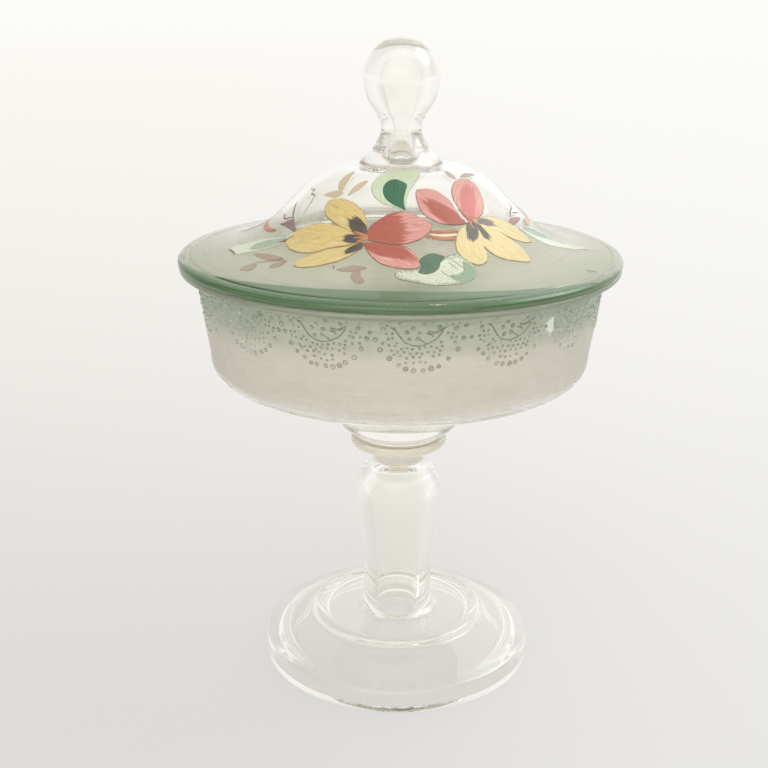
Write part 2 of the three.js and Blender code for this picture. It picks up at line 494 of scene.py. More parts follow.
@dataclass(frozen=True)
class LidStain:
    """The wash on the lid: sage and beige on the flange, fading to clear up the dome, with a green edge band.

    The profile, the radius less the height, tells places on the steep edge apart.

    Attributes:
        glass: The clear glass below.
        beige, sage: Colours of the flange, and of its streaks and edge.
        front, pale: Colours of the thick wash at the front and the thin one at the back.
        scuff: Colour of the faint brown scratches.
        band, band_light: Colours of the edge band and of its thin parts.
        groove: Colour of the painted shade in the groove and along the fine rings of the edge band.
        chip: Colours of the worn spots on the band, dark and pale.
        backlight: Colour of the light that comes through.
        wander: How far clouds and streaks shift the wash's upper end, in mm.
        back_y: y in mm between which the wash thins towards the back.
        back_shift: How much farther out the wash begins at the back, in mm.
        band_front: Inner radius of the band at the front and back, in mm.
        band_side: How much farther out the hand-laid band begins at the sides, in mm.
        rings: Profile of the groove and of each fine ring of painted shade, its half widths and its strength.
        chip_y: y in mm between which the band's worn spot comes in, towards the viewer.
    """

    glass: GlassFinish
    beige: Color
    sage: Color
    front: Color
    pale: Color
    scuff: Color
    band: Color
    band_light: Color
    groove: Color
    chip: tuple[Color, Color]
    backlight: Color
    fade_radius = (42.0, 54.0)
    wander = (10.0, 6.0)
    back_y = (-34.0, 42.0)
    back_thin = 0.7
    back_shift = 9.0
    sage_shares = (1.8, 1.2)
    sage_start = 0.3
    sage_radius = (66.0, 84.0)
    sage_edge = 0.6
    front_y = (-0.84, -1.0)
    front_share = 0.5
    front_cloud = 3.0
    pale_share = 0.8
    scuff_level = (0.58, 0.74)
    scuff_share = 0.3
    scuff_slant = 0.05 / 9.0
    band_front = 75.7
    band_side = 15.0
    band_lean = 2.5
    band_wander = 2.0
    band_soft = 1 / 0.9
    under_profile = (-90.6, -89.4)
    under_y = (-0.2, -0.4)
    glow = ((70.0, 75.0), (-0.9, -1.0))
    glow_share = 0.3
    tone_share = 2.6
    tone_start = 0.32
    rings = (
        (-94.6, (1.0, 0.25), 0.95), (-90.0, (0.4, 0.05), 0.5), (-97.4, (0.3, 0.05), 0.3))
    chip_x = (11.8, (4.6, 2.2))
    chip_y = (0.0, -10.0)
    chip_profile = (-91.9, (1.2, 0.5))
    wear_profile = (-91.6, (2.4, 0.6))
    chip_shares = (0.2, 0.03)
    chip_level = (0.68, 0.73)
    chip_grain = 6.0
    rim_radius = (84.0, 87.5)
    rim_thin = 0.75
    cover: float = 0.88
    cover_fine = 0.3
    band_cover = 0.97
    see_through = 0.42
    band_dense = 0.8
    roughness = 0.34
    gloss = 0.35
    streaks = Grain((1.8, 1.8, 0.55), 5.0, 0.6)
    fine = Grain((3.0, 3.0, 1.9), 4.0)
    clouds = Grain((0.035, 0.035, 1.0), 2.0)
    cloud_slice = 3.0
    scuffs = Grain((9.0, 9.0, 2.6), 5.0)
    wear = Grain((0.9, 0.9, 0.9), 4.0)

    def material(self) -> Material:
        """Builds the material."""
        shader = Shader.for_material("lid_stain")
        x, y, z = shader.position()
        radius, ring_x, ring_y = shader.ring(x, y)
        profile = radius - z
        streak = shader.swing(self.streaks, ring_x, ring_y, radius)
        fine = shader.swing(self.fine, ring_x, ring_y, profile)
        cloud = shader.swing(self.clouds, x, y, self.cloud_slice)
        back = y.rise(*self.back_y)
        green = mixture(self.sage_shares, (streak, cloud), self.sage_start)
        color = shader.blend(green, self.beige, self.sage)
        color = shader.blend(radius.rise(*self.sage_radius) * self.sage_edge, color, self.sage)
        thick = ring_y.rise(*self.front_y) * (self.front_share + cloud * self.front_cloud)
        color = shader.blend(thick, color, self.front)
        color = shader.blend(back * self.pale_share, color, self.pale)
        scuff = shader.noise(self.scuffs, ring_x + radius * self.scuff_slant, ring_y, radius)
        color = shader.blend(scuff.rise(*self.scuff_level) * self.scuff_share, color, self.scuff)
        tinge = radius.rise(*self.glow[0]) * ring_y.rise(*self.glow[1])
        color = shader.blend(tinge * self.glow_share, color, self.band_light)
        front = ring_y.at_most(0.0)
        edge = self.band_front + self.band_side * (1.0 - front * front)
        edge = edge + self.band_lean * ring_x + streak * self.band_wander
        under = profile.rise(*self.under_profile) * ring_y.rise(*self.under_y)
        band = ((radius - edge) / self.band_soft).rise(0.0, 1.0).at_least(under)
        band_color = shader.blend(fine * self.tone_share + self.tone_start, self.band, self.band_light)
        # Painted shade: the groove and the fine rings of the edge band are darkened as the light would shade
        # them.
        band_color = shader.blend(self.ring_shade(profile), band_color, self.groove)
        spot = x.near(*self.chip_x) * y.rise(*self.chip_y) * profile.near(*self.chip_profile)
        marks = (spot, profile.near(*self.wear_profile))
        worn = mixture(self.chip_shares, marks, shader.noise(self.wear, x, y, z))
        chips = shader.blend(fine * self.chip_grain + 0.5, *self.chip)
        band_color = shader.blend(worn.rise(*self.chip_level), band_color, chips)
        color = shader.blend(band, color, band_color)
        level = mixture(self.wander, (cloud, streak), radius) - back * self.back_shift
        wash = level.rise(*self.fade_radius) * (self.cover + fine * self.cover_fine).at_most(1.0)
        wash = wash * (1.0 - self.back_thin * back) * (1.0 - radius.rise(*self.rim_radius) * self.rim_thin)
        through = self.see_through * (1.0 - self.band_dense * band)
        satin = shader.satin(color, self.roughness, through, self.backlight, self.gloss)
        cover = wash.at_least(band * self.band_cover)
        return shader.surface(shader.mix(cover, self.glass.output(shader), satin))

    def ring_shade(self, profile: Signal) -> Signal:
        """Returns how strong the painted shade of the groove and the fine rings is at a profile."""
        groove, *rings = (profile.near(middle, reach) * share for middle, reach, share in self.rings)
        for ring in rings:
            groove = groove.at_least(ring)
        return groove


@dataclass(frozen=True)
class Patch:
    """A second colour laid inside a painted petal or leaf, with a ragged end.

    Args:
        color: Its colour.
        along: Its middle, in mm from the root.
        reach: Its half length, in mm.
        across: Its middle across the stroke, in mm.
        spread: Its half width, in mm.
        ragged: How far its end is drawn out in streaks, in mm.
    """

    color: Color
    along: float
    reach: float
    across: float
    spread: float
    ragged: float = 3.0
    edge: Span = (1.22, 0.78)
    pull: float = 2.2
    gaps: float = 1.1
    comb: Grain = Grain((0.09, 2.0, 1.0), 2.0)
    teeth: Grain = Grain((0.16, 7.0, 1.0), 2.0)
    teeth_share: float = 0.9

    def shape(self, shader: Shader, along: Signal, across: Signal, bristles: Signal) -> Signal:
        """Draws the patch as an ellipse whose ends the comb shifts.

        Args:
            shader: The material's builder.
            along: Distance from the root, in mm.
            across: Distance across the stroke, in mm.
            bristles: How much of the brush's hairs shows, from 0 up.

        Returns:
            1 in the patch and 0 outside.
        """
        comb = shader.swing(self.comb, along, across, 4.0)
        comb = comb + shader.swing(self.teeth, along, across, 9.0) * self.teeth_share
        a = (along - self.along - comb * self.ragged * self.pull) / self.reach
        b = (across - self.across) / self.spread
        return (a * a + b * b).rise(*self.edge) * (1.0 - bristles * self.gaps)


@dataclass(frozen=True)
class EnamelFinish:
    """Fired enamel in brush strokes.

    Every stroke is made of hairs, bristles and broad bands, three noises drawn out along the brush's way.

    Args:
        name: Material name.
        base, shade, light: Main colour, and those of the darker and paler strokes.
        outline, outline_width: Colour and width in mm of the fine line round the edge.
        patch: A second colour inside, if any.
        streak: How strongly the strokes show, from 0 to 1.
        worn: Share of the surface that is rubbed down to a pitted brown.
    """

    name: str
    base: Color
    shade: Color
    light: Color
    outline: Color = srgb(128, 104, 74)
    outline_width: float = 0.26
    patch: Patch | None = None
    streak = 0.9
    cover: float = 1.0
    worn: float = 0.0
    hairs = Grain((0.14, 3.6, 1.0), 4.0, 0.62)
    bristles = Grain((0.3, 9.0, 1.0))
    bands = Grain((0.13, 0.6, 1.0), 2.0)
    pits = Grain((1.3, 1.3, 1.0), 6.0, 0.75)
    wobble = Grain((0.7, 0.7, 1.0))
    thin = Grain((0.3, 1.2, 1.0))
    shade_shares = (2.6, 2.2, 1.2)
    shade_start = 0.3
    light_shares = (-2.4, -1.4, 1.2)
    light_start = 0.16
    roughness = 0.34
    pit_edge = (3.0, 0.3)
    pit_share = 0.12
    pit_level = (0.72, 0.8)
    pit_ease = 0.3
    pit_cover = 0.7
    outline_soft = (1.35, 0.65)
    outline_wander = 0.34
    outline_start = 0.72
    outline_share = 0.9
    relief = 0.3
    relief_depth = 0.0004

    def material(self) -> Material:
        """Builds the material."""
        shader = Shader.for_material(self.name)
        along, across, edge = shader.brush()
        hair = shader.swing(self.hairs, along, across, 0.0)
        bristle = shader.swing(self.bristles, along, across, 3.0)
        broad = shader.swing(self.bands, along, across, 7.0)
        shade = mixture(self.shade_shares, (hair, broad, bristle), self.shade_start)
        color = shader.blend(shade * self.streak, self.base, self.shade)
        light = mixture(self.light_shares, (hair, bristle, broad), self.light_start)
        color = shader.blend(light * self.streak, color, self.light)
        if self.patch:
            inside = self.patch.shape(shader, along, across, bristle.at_least(0.0) + hair.at_least(0.0))
            color = shader.blend(inside, color, self.patch.color)
        if self.worn:
            pits = shader.noise(self.pits, along, across, 8.0) + edge.rise(*self.pit_edge) * self.pit_share
            pits = pits.rise(*(level - self.worn * self.pit_ease for level in self.pit_level))
            color = shader.blend(pits * self.pit_cover, color, self.outline)
        if self.outline_width:
            wobble = shader.swing(self.wobble, along, across, 2.0)
            inner, outer = (self.outline_width * part for part in self.outline_soft)
            border = (edge - wobble * self.outline_wander).rise(inner, outer)
            border = border * (self.outline_start + wobble * self.outline_share)
            color = shader.blend(border, color, self.outline)
        values = {"Base Color": color, "Roughness": self.roughness,
                  "Normal": shader.bump(hair + bristle * 0.5, self.relief, self.relief_depth)}
        if self.cover < 1.0:
            thin = shader.swing(self.thin, along, across, 5.0)
            values["Alpha"] = (self.cover + thin * 0.5).at_most(1.0).at_least(0.0)
        return shader.surface(shader.principled(values))


@dataclass(frozen=True)
class DotFinish:
    """Raised translucent beads of the lace, clearer in the middle than at the rim.

    Args:
        name: Material name.
        high: Colour near the lip.
        low: Colour at the bottom of the swags.
        heart: Colour of a bead's middle.
        glint: Colour of the beads at both sides, which catch the light.
    """

    name: str
    high: Color
    low: Color
    heart: Color
    glint: Color
    low_z = (166.0, 153.0)
    heart_rim = (0.95, 0.1)
    glint_x = (0.5, 0.8)
    roughness = 0.2
    gloss = 0.5

    def material(self) -> Material:
        """Builds the material, in which chance tells the beads apart."""
        shader = Shader.for_material(self.name)
        x, y, z = shader.position()
        rim, chance, size = shader.brush()
        _, ring_x, _ = shader.ring(x, y)
        color = shader.blend(z.rise(*self.low_z), self.high, self.low)
        clear = rim.rise(*self.heart_rim) * (chance * 0.6 + size * 0.4 - 0.1)
        color = shader.blend(clear, color, self.heart)
        color = shader.blend(ring_x.size().rise(*self.glint_x) * (chance * 0.5 + 0.35), color, self.glint)
        return shader.surface(shader.principled({
            "Base Color": color, "Roughness": self.roughness, "Specular IOR Level": 0.7,
            "Alpha": 0.5 + chance * 0.4, "Coat Weight": self.gloss, "Coat Roughness": 0.06}))


# Outlines


def smooth(stations: Stations, steps: int) -> np.ndarray:
    """Draws a smooth curve through stations: each span is a cubic whose end slopes are half the chord across.

    Args:
        stations: Points of the curve.
        steps: Number of equal steps.

    Returns:
        steps + 1 points.
    """
    points = np.asarray(stations, float)
    last = len(points) - 1
    place = np.linspace(0, last, steps + 1)
    span = np.minimum(place.astype(int), last - 1)
    w = (place - span)[:, None]
    before, start = points[np.maximum(span - 1, 0)], points[span]
    end, after = points[span + 1], points[np.minimum(span + 2, last)]
    slope_a, slope_b = (end - before) / 2, (after - start) / 2
    return ((2 * start - 2 * end + slope_a + slope_b) * w**3
            + (-3 * start + 3 * end - 2 * slope_a - slope_b) * w**2 + slope_a * w + start)


def smooth_ring(stations: Stations, per_span: int) -> np.ndarray:
    """Draws a smooth closed curve through stations.

    Args:
        stations: Points of the curve.
        per_span: Number of steps between two of them.

    Returns:
        The curve, without its first point again at the end.
    """
    points = [stations[-1], *stations, stations[0], stations[1]]
    curve = smooth(points, per_span * (len(points) - 1))
    return curve[per_span:per_span * (len(stations) + 1)]


def arc(r: float, z: float, half_width: float, half_height: float, start: float, end: float,
        steps: int) -> np.ndarray:
    """Draws a stretch of an ellipse: its half sizes times the cosine and the sine of a turn.

    Args:
        r, z: Radius and height of its middle.
        half_width, half_height: Half its sizes.
        start, end: Turns in degrees, 0 pointing outwards and 90 up.
        steps: Number of steps.

    Returns:
        steps + 1 points.
    """
    angle = np.radians(np.linspace(start, end, steps + 1))
    return np.stack([r + half_width * np.cos(angle), z + half_height * np.sin(angle)], 1)


def inner_face(outline: np.ndarray, wall: float) -> np.ndarray:
    """Moves each point of an outline square to the line from the point before it to the one after.

    Args:
        outline: The outer face.
        wall: Thickness of the wall, in mm.

    Returns:
        The inner face.
    """
    number = np.arange(len(outline))
    along = outline[np.minimum(number + 1, len(outline) - 1)] - outline[np.maximum(number - 1, 0)]
    along /= np.linalg.norm(along, axis=1)[:, None]
    return outline + wall * np.stack([-along[:, 1], along[:, 0]], 1)


def line(*points: tuple[float, float]) -> np.ndarray:
    """Returns straight lines through points."""
    return np.asarray(points, float)


@dataclass(frozen=True)
class Run:
    """A stretch of a turned outline with one finish.

    Args:
        points: Radius and height of each point.
        finish: Number of the piece's finish.
    """

    points: np.ndarray
    finish: int


def write_mesh(name: str, vertices: np.ndarray, quads: np.ndarray, finishes: np.ndarray,
               materials: Sequence[Material], sharp: float = 42.0, brush: np.ndarray | None = None) -> Object:
    """Writes a mesh of four-cornered faces, in which a repeated last corner makes a triangle.

    Args:
        name: Object name.
        vertices: Corner places in millimetres.
        quads: Four corner numbers a face.
        finishes: Number of each face's finish.
        materials: The finishes.
        sharp: Angle in degrees above which an edge stays crisp.
        brush: Three measures a corner that a painted finish reads.

    Returns:
        The object, at the origin.
    """
    corners = np.where(quads[:, 2] == quads[:, 3], 3, 4)
    loops = quads[np.arange(4)[None, :] < corners[:, None]]
    mesh = bpy.data.meshes.new(name)
    mesh.vertices.add(len(vertices))
    mesh.vertices.foreach_set("co", (vertices * MM).astype(np.float32).ravel())
    mesh.loops.add(len(loops))
    mesh.loops.foreach_set("vertex_index", loops.astype(np.int32))
    mesh.polygons.add(len(quads))
    mesh.polygons.foreach_set("loop_start", np.concatenate([[0], np.cumsum(corners)[:-1]]).astype(np.int32))
    mesh.polygons.foreach_set("material_index", finishes.astype(np.int32))
    mesh.update(calc_edges=True)
    mesh.validate()
    mesh.polygons.foreach_set("use_smooth", np.ones(len(mesh.polygons), bool))
    mesh.set_sharp_from_angle(angle=math.radians(sharp))
    for material in materials:
        mesh.materials.append(material)
    if brush is not None:
        layer = mesh.attributes.new(BRUSH, "FLOAT_VECTOR", "POINT")
        layer.data.foreach_set("vector", brush.astype(np.float32).ravel())
    return linked(name, mesh)


def linked(name: str, data: bpy.types.ID) -> Object:
    """Makes an object of a mesh, lamp or camera and puts it in the scene."""
    made = bpy.data.objects.new(name, data)
    bpy.context.scene.collection.objects.link(made)
    return made


def turned(name: str, runs: Sequence[Run], segments: int, materials: Sequence[Material]) -> Object:
    """Turns an outline about the upright axis, up the outside and down the inside, or from the axis to it.

    A vertex is the station's radius times the cosine and the sine of its turn, at the station's height.  A
    station on the axis is one vertex, where the faces become triangles.

    Args:
        name: Object name.
        runs: Stretches of the outline, end to end; it closes on itself where it isn't on the axis.
        segments: Number of steps round.
        materials: Finishes that the runs number.

    Returns:
        The closed mesh.
    """
    points = np.concatenate([run.points for run in runs])
    finishes = np.repeat([run.finish for run in runs], [len(run.points) for run in runs])
    apart = np.linalg.norm(np.diff(points, axis=0), axis=1) > SAME_PLACE
    outline, finishes = points[np.concatenate([[True], apart])], finishes[1:][apart]
    if outline[0, 0] > ON_AXIS and np.linalg.norm(outline[0] - outline[-1]) < SAME_PLACE:
        outline = outline[:-1]
    pole = outline[:, 0] < ON_AXIS
    radius, height = np.where(pole, 0.0, outline[:, 0])[:, None], outline[:, 1:]
    turn = np.linspace(0, 2 * math.pi, segments, endpoint=False)
    places = np.stack([radius * np.cos(turn), radius * np.sin(turn), height + 0 * turn], 2)
    step = np.arange(segments)
    sizes = np.where(pole, 1, segments)
    number = (np.cumsum(sizes) - sizes)[:, None] + np.where(pole[:, None], 0, step)
    low, high = number[:len(finishes)], number[(np.arange(len(finishes)) + 1) % len(outline)]
    low_next, high_next = low[:, (step + 1) % segments], high[:, (step + 1) % segments]
    quads = np.stack([low, low_next, high_next, high], 2)
    fans = pole[:len(finishes)]
    quads[fans] = np.stack([low, high_next, high, high], 2)[fans]
    vertices = places[step[None, :] < sizes[:, None]]
    return write_mesh(name, vertices, quads.reshape(-1, 4), np.repeat(finishes, segments), materials)


# Glass pieces of the stand and the cover


STEM_SEAT_Z = 20.3
BUTTON_BOTTOM_Z = 88.6
WAFER_BOTTOM_Z = 95.4
BOWL_BOTTOM_Z = 101.2
LID_SEAT_Z = 175.6
KNOB_SEAT_Z = 214.3
SEAT_GAP = 0.03
GLASS, FUSED, STAINED = 0, 1, 2


class Foot:
    """Stepped disc, blown hollow, with a raised step and a shallow dish round the stem."""

    radius = 57.7
    rest_inner = 49.5
    rest_round = 0.9
    side_height = 8.0
    shoulder = 2.3
    slope = ((47.5, 14.2), (38.6, 17.4))
    crest = (34.2, 21.1)
    step_edge = (3.0, 2.6)
    dish_radius = 29.8
    dish_run = 3.0
    dish_depth = 0.06
    bore = 8.9
    ceiling_z = 16.9
    hollow = ((28, 16.6), (33.5, 14.5), (41, 10.6), (46, 7), (48, 2.5))

    def build(self, glass: Material, fused: Material, stem_base: float) -> Object:
        """Builds the foot from its rest ring over the step to the stem, and back down the hollow.

        Args:
            glass, fused: Finishes of its glass and of the joint.
            stem_base: Radius of the stem fused to it.

        Returns:
            The foot.
        """
        low, high = self.rest_round, self.shoulder
        rest = arc(self.radius - low, low, low, low, -90, 0, 6)
        shoulder = arc(self.radius - high, self.side_height, high, high, 0, 66, 8)
        width, height = self.step_edge
        step = arc(self.crest[0], self.crest[1] - height, width, height, 8, 100, 14)
        slope = smooth([shoulder[-2], shoulder[-1], *self.slope, step[0], step[1]], 40)[8:33]
        dish = smooth([step[-2], step[-1], (self.dish_radius, STEM_SEAT_Z + self.dish_depth),
                       (self.dish_radius - self.dish_run, STEM_SEAT_Z),
                       (self.dish_radius - 2 * self.dish_run, STEM_SEAT_Z)], 24)[6:]
        hollow = smooth([(self.bore, self.ceiling_z), *self.hollow, (self.rest_inner, 0)], 60)
        return turned("foot_glass", [
            Run(np.concatenate([rest, shoulder, slope, step, dish, line((stem_base, STEM_SEAT_Z))]), GLASS),
            Run(line((self.bore, STEM_SEAT_Z)), FUSED),
            Run(np.concatenate([hollow, rest[:1]]), GLASS),
        ], 256, [glass, fused])


class Stem:
    """Hollow baluster, widest at the shoulder."""

    base_radius = 17.4
    top_radius = 10.9
    outline = ((15, 23.4), (14.5, 32), (15.2, 47), (16.8, 62), (17.8, 73), (18, 79), (16.1, 84),
               (12.6, 86.6))
    bore_mouth = 8.9
    bore = ((0, 83.2), (6.4, 82.2), (10.6, 78), (11.6, 70), (10, 52), (8.9, 34))

    def build(self, glass: Material, fused: Material, button: float) -> Object:
        """Builds the stem from the top of its bore down, and up its outside.

        Args:
            glass, fused: Finishes of its glass and of the joints.
            button: Radius of the neck button fused on top.

        Returns:
            The stem.
        """
        bore = smooth([*self.bore, (self.bore_mouth, STEM_SEAT_Z)], 72)
        base, top = (self.base_radius, STEM_SEAT_Z), (self.top_radius, BUTTON_BOTTOM_Z)
        outside = smooth([base, *self.outline, top], 108)
        return turned("stem_glass", [
            Run(bore, GLASS),
            Run(outside[:1], FUSED),
            Run(np.concatenate([outside, line((button, BUTTON_BOTTOM_Z))]), GLASS),
            Run(line((0, BUTTON_BOTTOM_Z)), FUSED),
        ], 192, [glass, fused])


class NeckButton:
    """Short solid drum with a slight bulge."""

    radius = 10.7
    bulge = 0.5

    @property
    def flat_radius(self) -> float:
        """Returns the radius of the flat ends."""
        return self.radius - self.bulge

    def build(self, glass: Material, fused: Material) -> Object:
        """Builds the button between its two joints.

        Args:
            glass, fused: Finishes of its glass and of the joints.

        Returns:
            The button.
        """
        half = (WAFER_BOTTOM_Z - BUTTON_BOTTOM_Z) / 2
        side = arc(self.flat_radius, BUTTON_BOTTOM_Z + half, self.bulge, half, -90, 90, 16)
        return turned("neck_button_glass", [
            Run(line((0, BUTTON_BOTTOM_Z), (self.flat_radius, BUTTON_BOTTOM_Z)), FUSED),
            Run(side, GLASS),
            Run(line((0, WAFER_BOTTOM_Z)), FUSED),
        ], 160, [glass, fused])


class Wafer:
    """Solid disc with a full round edge."""

    radius = 20.2
    flat_radius = 16.8

    def build(self, glass: Material, fused: Material, button: float) -> Object:
        """Builds the wafer between its two joints.

        Args:
            glass, fused: Finishes of its glass and of the joints.
            button: Radius of the neck button fused below.

        Returns:
            The wafer.
        """
        half = (BOWL_BOTTOM_Z - WAFER_BOTTOM_Z) / 2
        edge = arc(self.flat_radius, WAFER_BOTTOM_Z + half, self.radius - self.flat_radius, half, -90, 90, 24)
        return turned("wafer_glass", [
            Run(line((0, WAFER_BOTTOM_Z), (button, WAFER_BOTTOM_Z)), FUSED),
            Run(edge, GLASS),
            Run(line((0, BOWL_BOTTOM_Z)), FUSED),
        ], 192, [glass, fused])


class Bowl:
    """Deep tub on a funnel, with a rolled-out lip."""

    funnel = ((17.9, BOWL_BOTTOM_Z), (23.3, 104.4), (27.2, 110.4), (33, 117.4), (42, 123.2))
    corner = (77.5, 140.3)
    corner_size = (25.0, 14.2)
    corner_power = 2.7
    wall_outline = ((79.3, 151.5), (81.3, 167.5), (82.3, 170.6))
    wall = 2.8
    floor = ((42, 127.4), (26, 121.4), (0, 116))
    chamfer = (1.2, 1.6)
    lip = 88.6
    lip_root = 84.2
    lip_run = 1.6
    lip_sag = 0.35
    lip_thickness = 2.3
    lip_round = 1.1

    def corner_points(self, steps: int) -> np.ndarray:
        """Walks a squarish ellipse: its half sizes times the cosine and the sine, each to one power.

        Args:
            steps: Number of steps from the floor to the wall.

        Returns:
            Points of the corner.
        """
        angle = (math.pi / 2) * (1 - np.linspace(0, 1, steps + 1))
        power = 2 / self.corner_power
        (radius, top), (width, height) = self.corner, self.corner_size
        return np.stack([radius - width * (1 - np.maximum(np.cos(angle), 0) ** power),
                         top - height * np.sin(angle) ** power], 1)

    def wall_points(self) -> np.ndarray:
        """Returns the outside of the wall above the corner."""
        return smooth([self.corner, *self.wall_outline], 60)

    def build(self, stained: Material, glass: Material, fused: Material, wafer: float) -> Object:
        """Builds the bowl from the wafer up its outside to the lip, and down the tub to its floor.

        Args:
            stained, glass, fused: Finishes of its outside, its inside and the joint.
            wafer: Radius of the wafer fused below.

        Returns:
            The bowl.
        """
        corner, wall = self.corner_points(40), self.wall_points()
        funnel = smooth([*self.funnel, tuple(corner[0])], 60)
        lip_bottom = LID_SEAT_Z - self.lip_thickness
        root = smooth([wall[-2], wall[-1], (self.lip_root, lip_bottom - self.lip_sag),
                       (self.lip_root + self.lip_run, lip_bottom)], 24)[8:]
        lip = arc(self.lip - self.lip_round, LID_SEAT_Z - self.lip_thickness / 2,
                  self.lip_round, self.lip_thickness / 2, -72, 90, 14)
        tub = inner_face(np.concatenate([self.corner_points(36), wall[1:-10]]), self.wall)[::-1]
        mouth = line((tub[0][0] + self.chamfer[0], LID_SEAT_Z), (tub[0][0], LID_SEAT_Z - self.chamfer[1]))
        floor = smooth([tuple(tub[-1]), *self.floor], 40)
        return turned("bowl_glass", [
            Run(line((0, BOWL_BOTTOM_Z), (wafer, BOWL_BOTTOM_Z)), FUSED),
            Run(np.concatenate([funnel, corner[1:], wall[1:], root, lip, mouth[:1]]), STAINED),
            Run(np.concatenate([mouth, tub, floor]), GLASS),
        ], 256, [glass, fused, stained])


class Lid:
    """Bell dome with a wide flange, a rounded and grooved edge, and a ring that drops into the bowl."""

    radius = 89.0
    edge_top = 179.5
    edge_middle = 177.1
    edge_round = 3.8
    seat_round = 1.6
    groove = (84.5, 179.1)
    wall = 2.8
    flange_and_dome = (
        (83.8, 179.7), (75, 181.2), (67, 183.2), (60, 186.1), (53, 190.7),
        (44, 199.2), (37, 206.1), (30, 210.9), (23, 213.6), (16.6, KNOB_SEAT_Z))
    hole = 5.4
    crown_wall = 3.0
    ring = 77.2
    ring_wall = 2.6
    ring_depth = 5.2
    ring_root = 178.1
    ring_lead = 0.6
    ring_taper = 3.4

    def top_points(self) -> np.ndarray:
        """Returns the top surface from the groove up to the knob."""
        return smooth(self.flange_and_dome, 126)

    def build(self, stained: Material, glass: Material, fused: Material) -> Object:
        """Builds the lid from its seat over the edge and the dome to the knob, and back under it to the ring.

        Args:
            stained, glass, fused: Finishes of its top, its underside and the joint.

        Returns:
            The lid.
        """
        seat = LID_SEAT_Z + SEAT_GAP
        under_edge = arc(self.radius - self.seat_round, self.edge_middle, self.seat_round,
                         self.edge_middle - seat, -90, 0, 10)
        top_edge = arc(self.radius - self.edge_round, self.edge_middle, self.edge_round,
                       self.edge_top - self.edge_middle, 0, 90, 16)
        top = self.top_points()
        groove = smooth([top_edge[-2], top_edge[-1], self.groove, tuple(top[0]), tuple(top[1])], 16)[4:13]
        inner_radius = self.ring - self.ring_wall
        under = inner_face(top, self.wall)
        under = under[under[:, 0] < inner_radius][::-1]
        hole = line((self.hole, KNOB_SEAT_Z), (self.hole, KNOB_SEAT_Z - self.crown_wall))
        bottom = LID_SEAT_Z - self.ring_depth
        ring = line((inner_radius, self.ring_root), (inner_radius, bottom),
                    (self.ring - self.ring_lead, bottom), (self.ring, LID_SEAT_Z - self.ring_taper),
                    (self.ring, seat))
        return turned("lid_glass", [
            Run(np.concatenate([under_edge, top_edge, groove, top]), STAINED),
            Run(hole[:1], FUSED),
            Run(np.concatenate([hole, under, ring]), GLASS),
            Run(under_edge[:1], STAINED),
        ], 256, [glass, fused, stained])


class Knob:
    """Blown ball on a flared neck, with a hollow that follows it and opens below."""

    flare = 16.6
    outline = (
        (13.3, 217.8), (10.1, 221.6), (7.9, 227.2), (9.6, 232.6), (13, 238.2),
        (15, 246.6), (13.7, 253), (10, 258.4), (5.2, 261.2), (0, 262.0))
    hollow = ((0, 255), (5.4, 252.4), (7.6, 246.6), (6, 239.4), (2.9, 231.2), (2.7, 224))
    seam_steps = 8

    def build(self, glass: Material, fused: Material, seam: Material, hole: float) -> Object:
        """Builds the knob from the top of its hollow down, and up its outside.

        Args:
            glass, fused: Finishes of its glass and of the joint.
            seam: Finish of the brownish glass at its foot.
            hole: Radius of the lid's hole below it.

        Returns:
            The knob.
        """
        hollow = smooth([*self.hollow, (hole, KNOB_SEAT_Z)], 72)
        outside = smooth([(self.flare, KNOB_SEAT_Z), *self.outline], 240)
        return turned("knob_glass", [
            Run(hollow, GLASS),
            Run(outside[:1], FUSED),
            Run(outside[:self.seam_steps], STAINED),
            Run(outside[self.seam_steps - 1:], GLASS),
        ], 192, [glass, fused, seam])


# Painted ornament


class Dome:
    """The lid's top as a height over the plan."""

    def __init__(self, outline: np.ndarray) -> None:
        """Takes the height and its slope from the top's outline."""
        self.radius, self.height = outline[np.argsort(outline[:, 0])].T
        self.slope = np.gradient(self.height, self.radius)

    def place(self, plan: np.ndarray, lift: np.ndarray) -> np.ndarray:
        """Lays plan points on the dome, each lifted square to it.

        Args:
            plan: x and y, in mm.
            lift: Height above the glass, in mm.

        Returns:
            Places in mm.
        """
        radius = np.hypot(plan[:, 0], plan[:, 1])
        height = np.interp(radius, self.radius, self.height)
        slope = np.interp(radius, self.radius, self.slope)
        outward = plan / np.maximum(radius, ON_AXIS)[:, None]
        normal = np.concatenate([-slope[:, None] * outward, np.ones((len(plan), 1))], 1)
        normal /= np.linalg.norm(normal, axis=1)[:, None]
        return np.concatenate([plan, height[:, None]], 1) + normal * lift[:, None]


def travelled(points: np.ndarray) -> np.ndarray:
    """Returns how far each point lies along a line."""
    return np.concatenate([[0], np.cumsum(np.linalg.norm(np.diff(points, axis=0), axis=1))])


def even(points: np.ndarray, count: int) -> np.ndarray:
    """Returns count points at even distances along a line."""
    way = travelled(points)
    wanted = np.linspace(0, way[-1], count)
    return np.stack([np.interp(wanted, way, points[:, k]) for k in range(2)], 1)


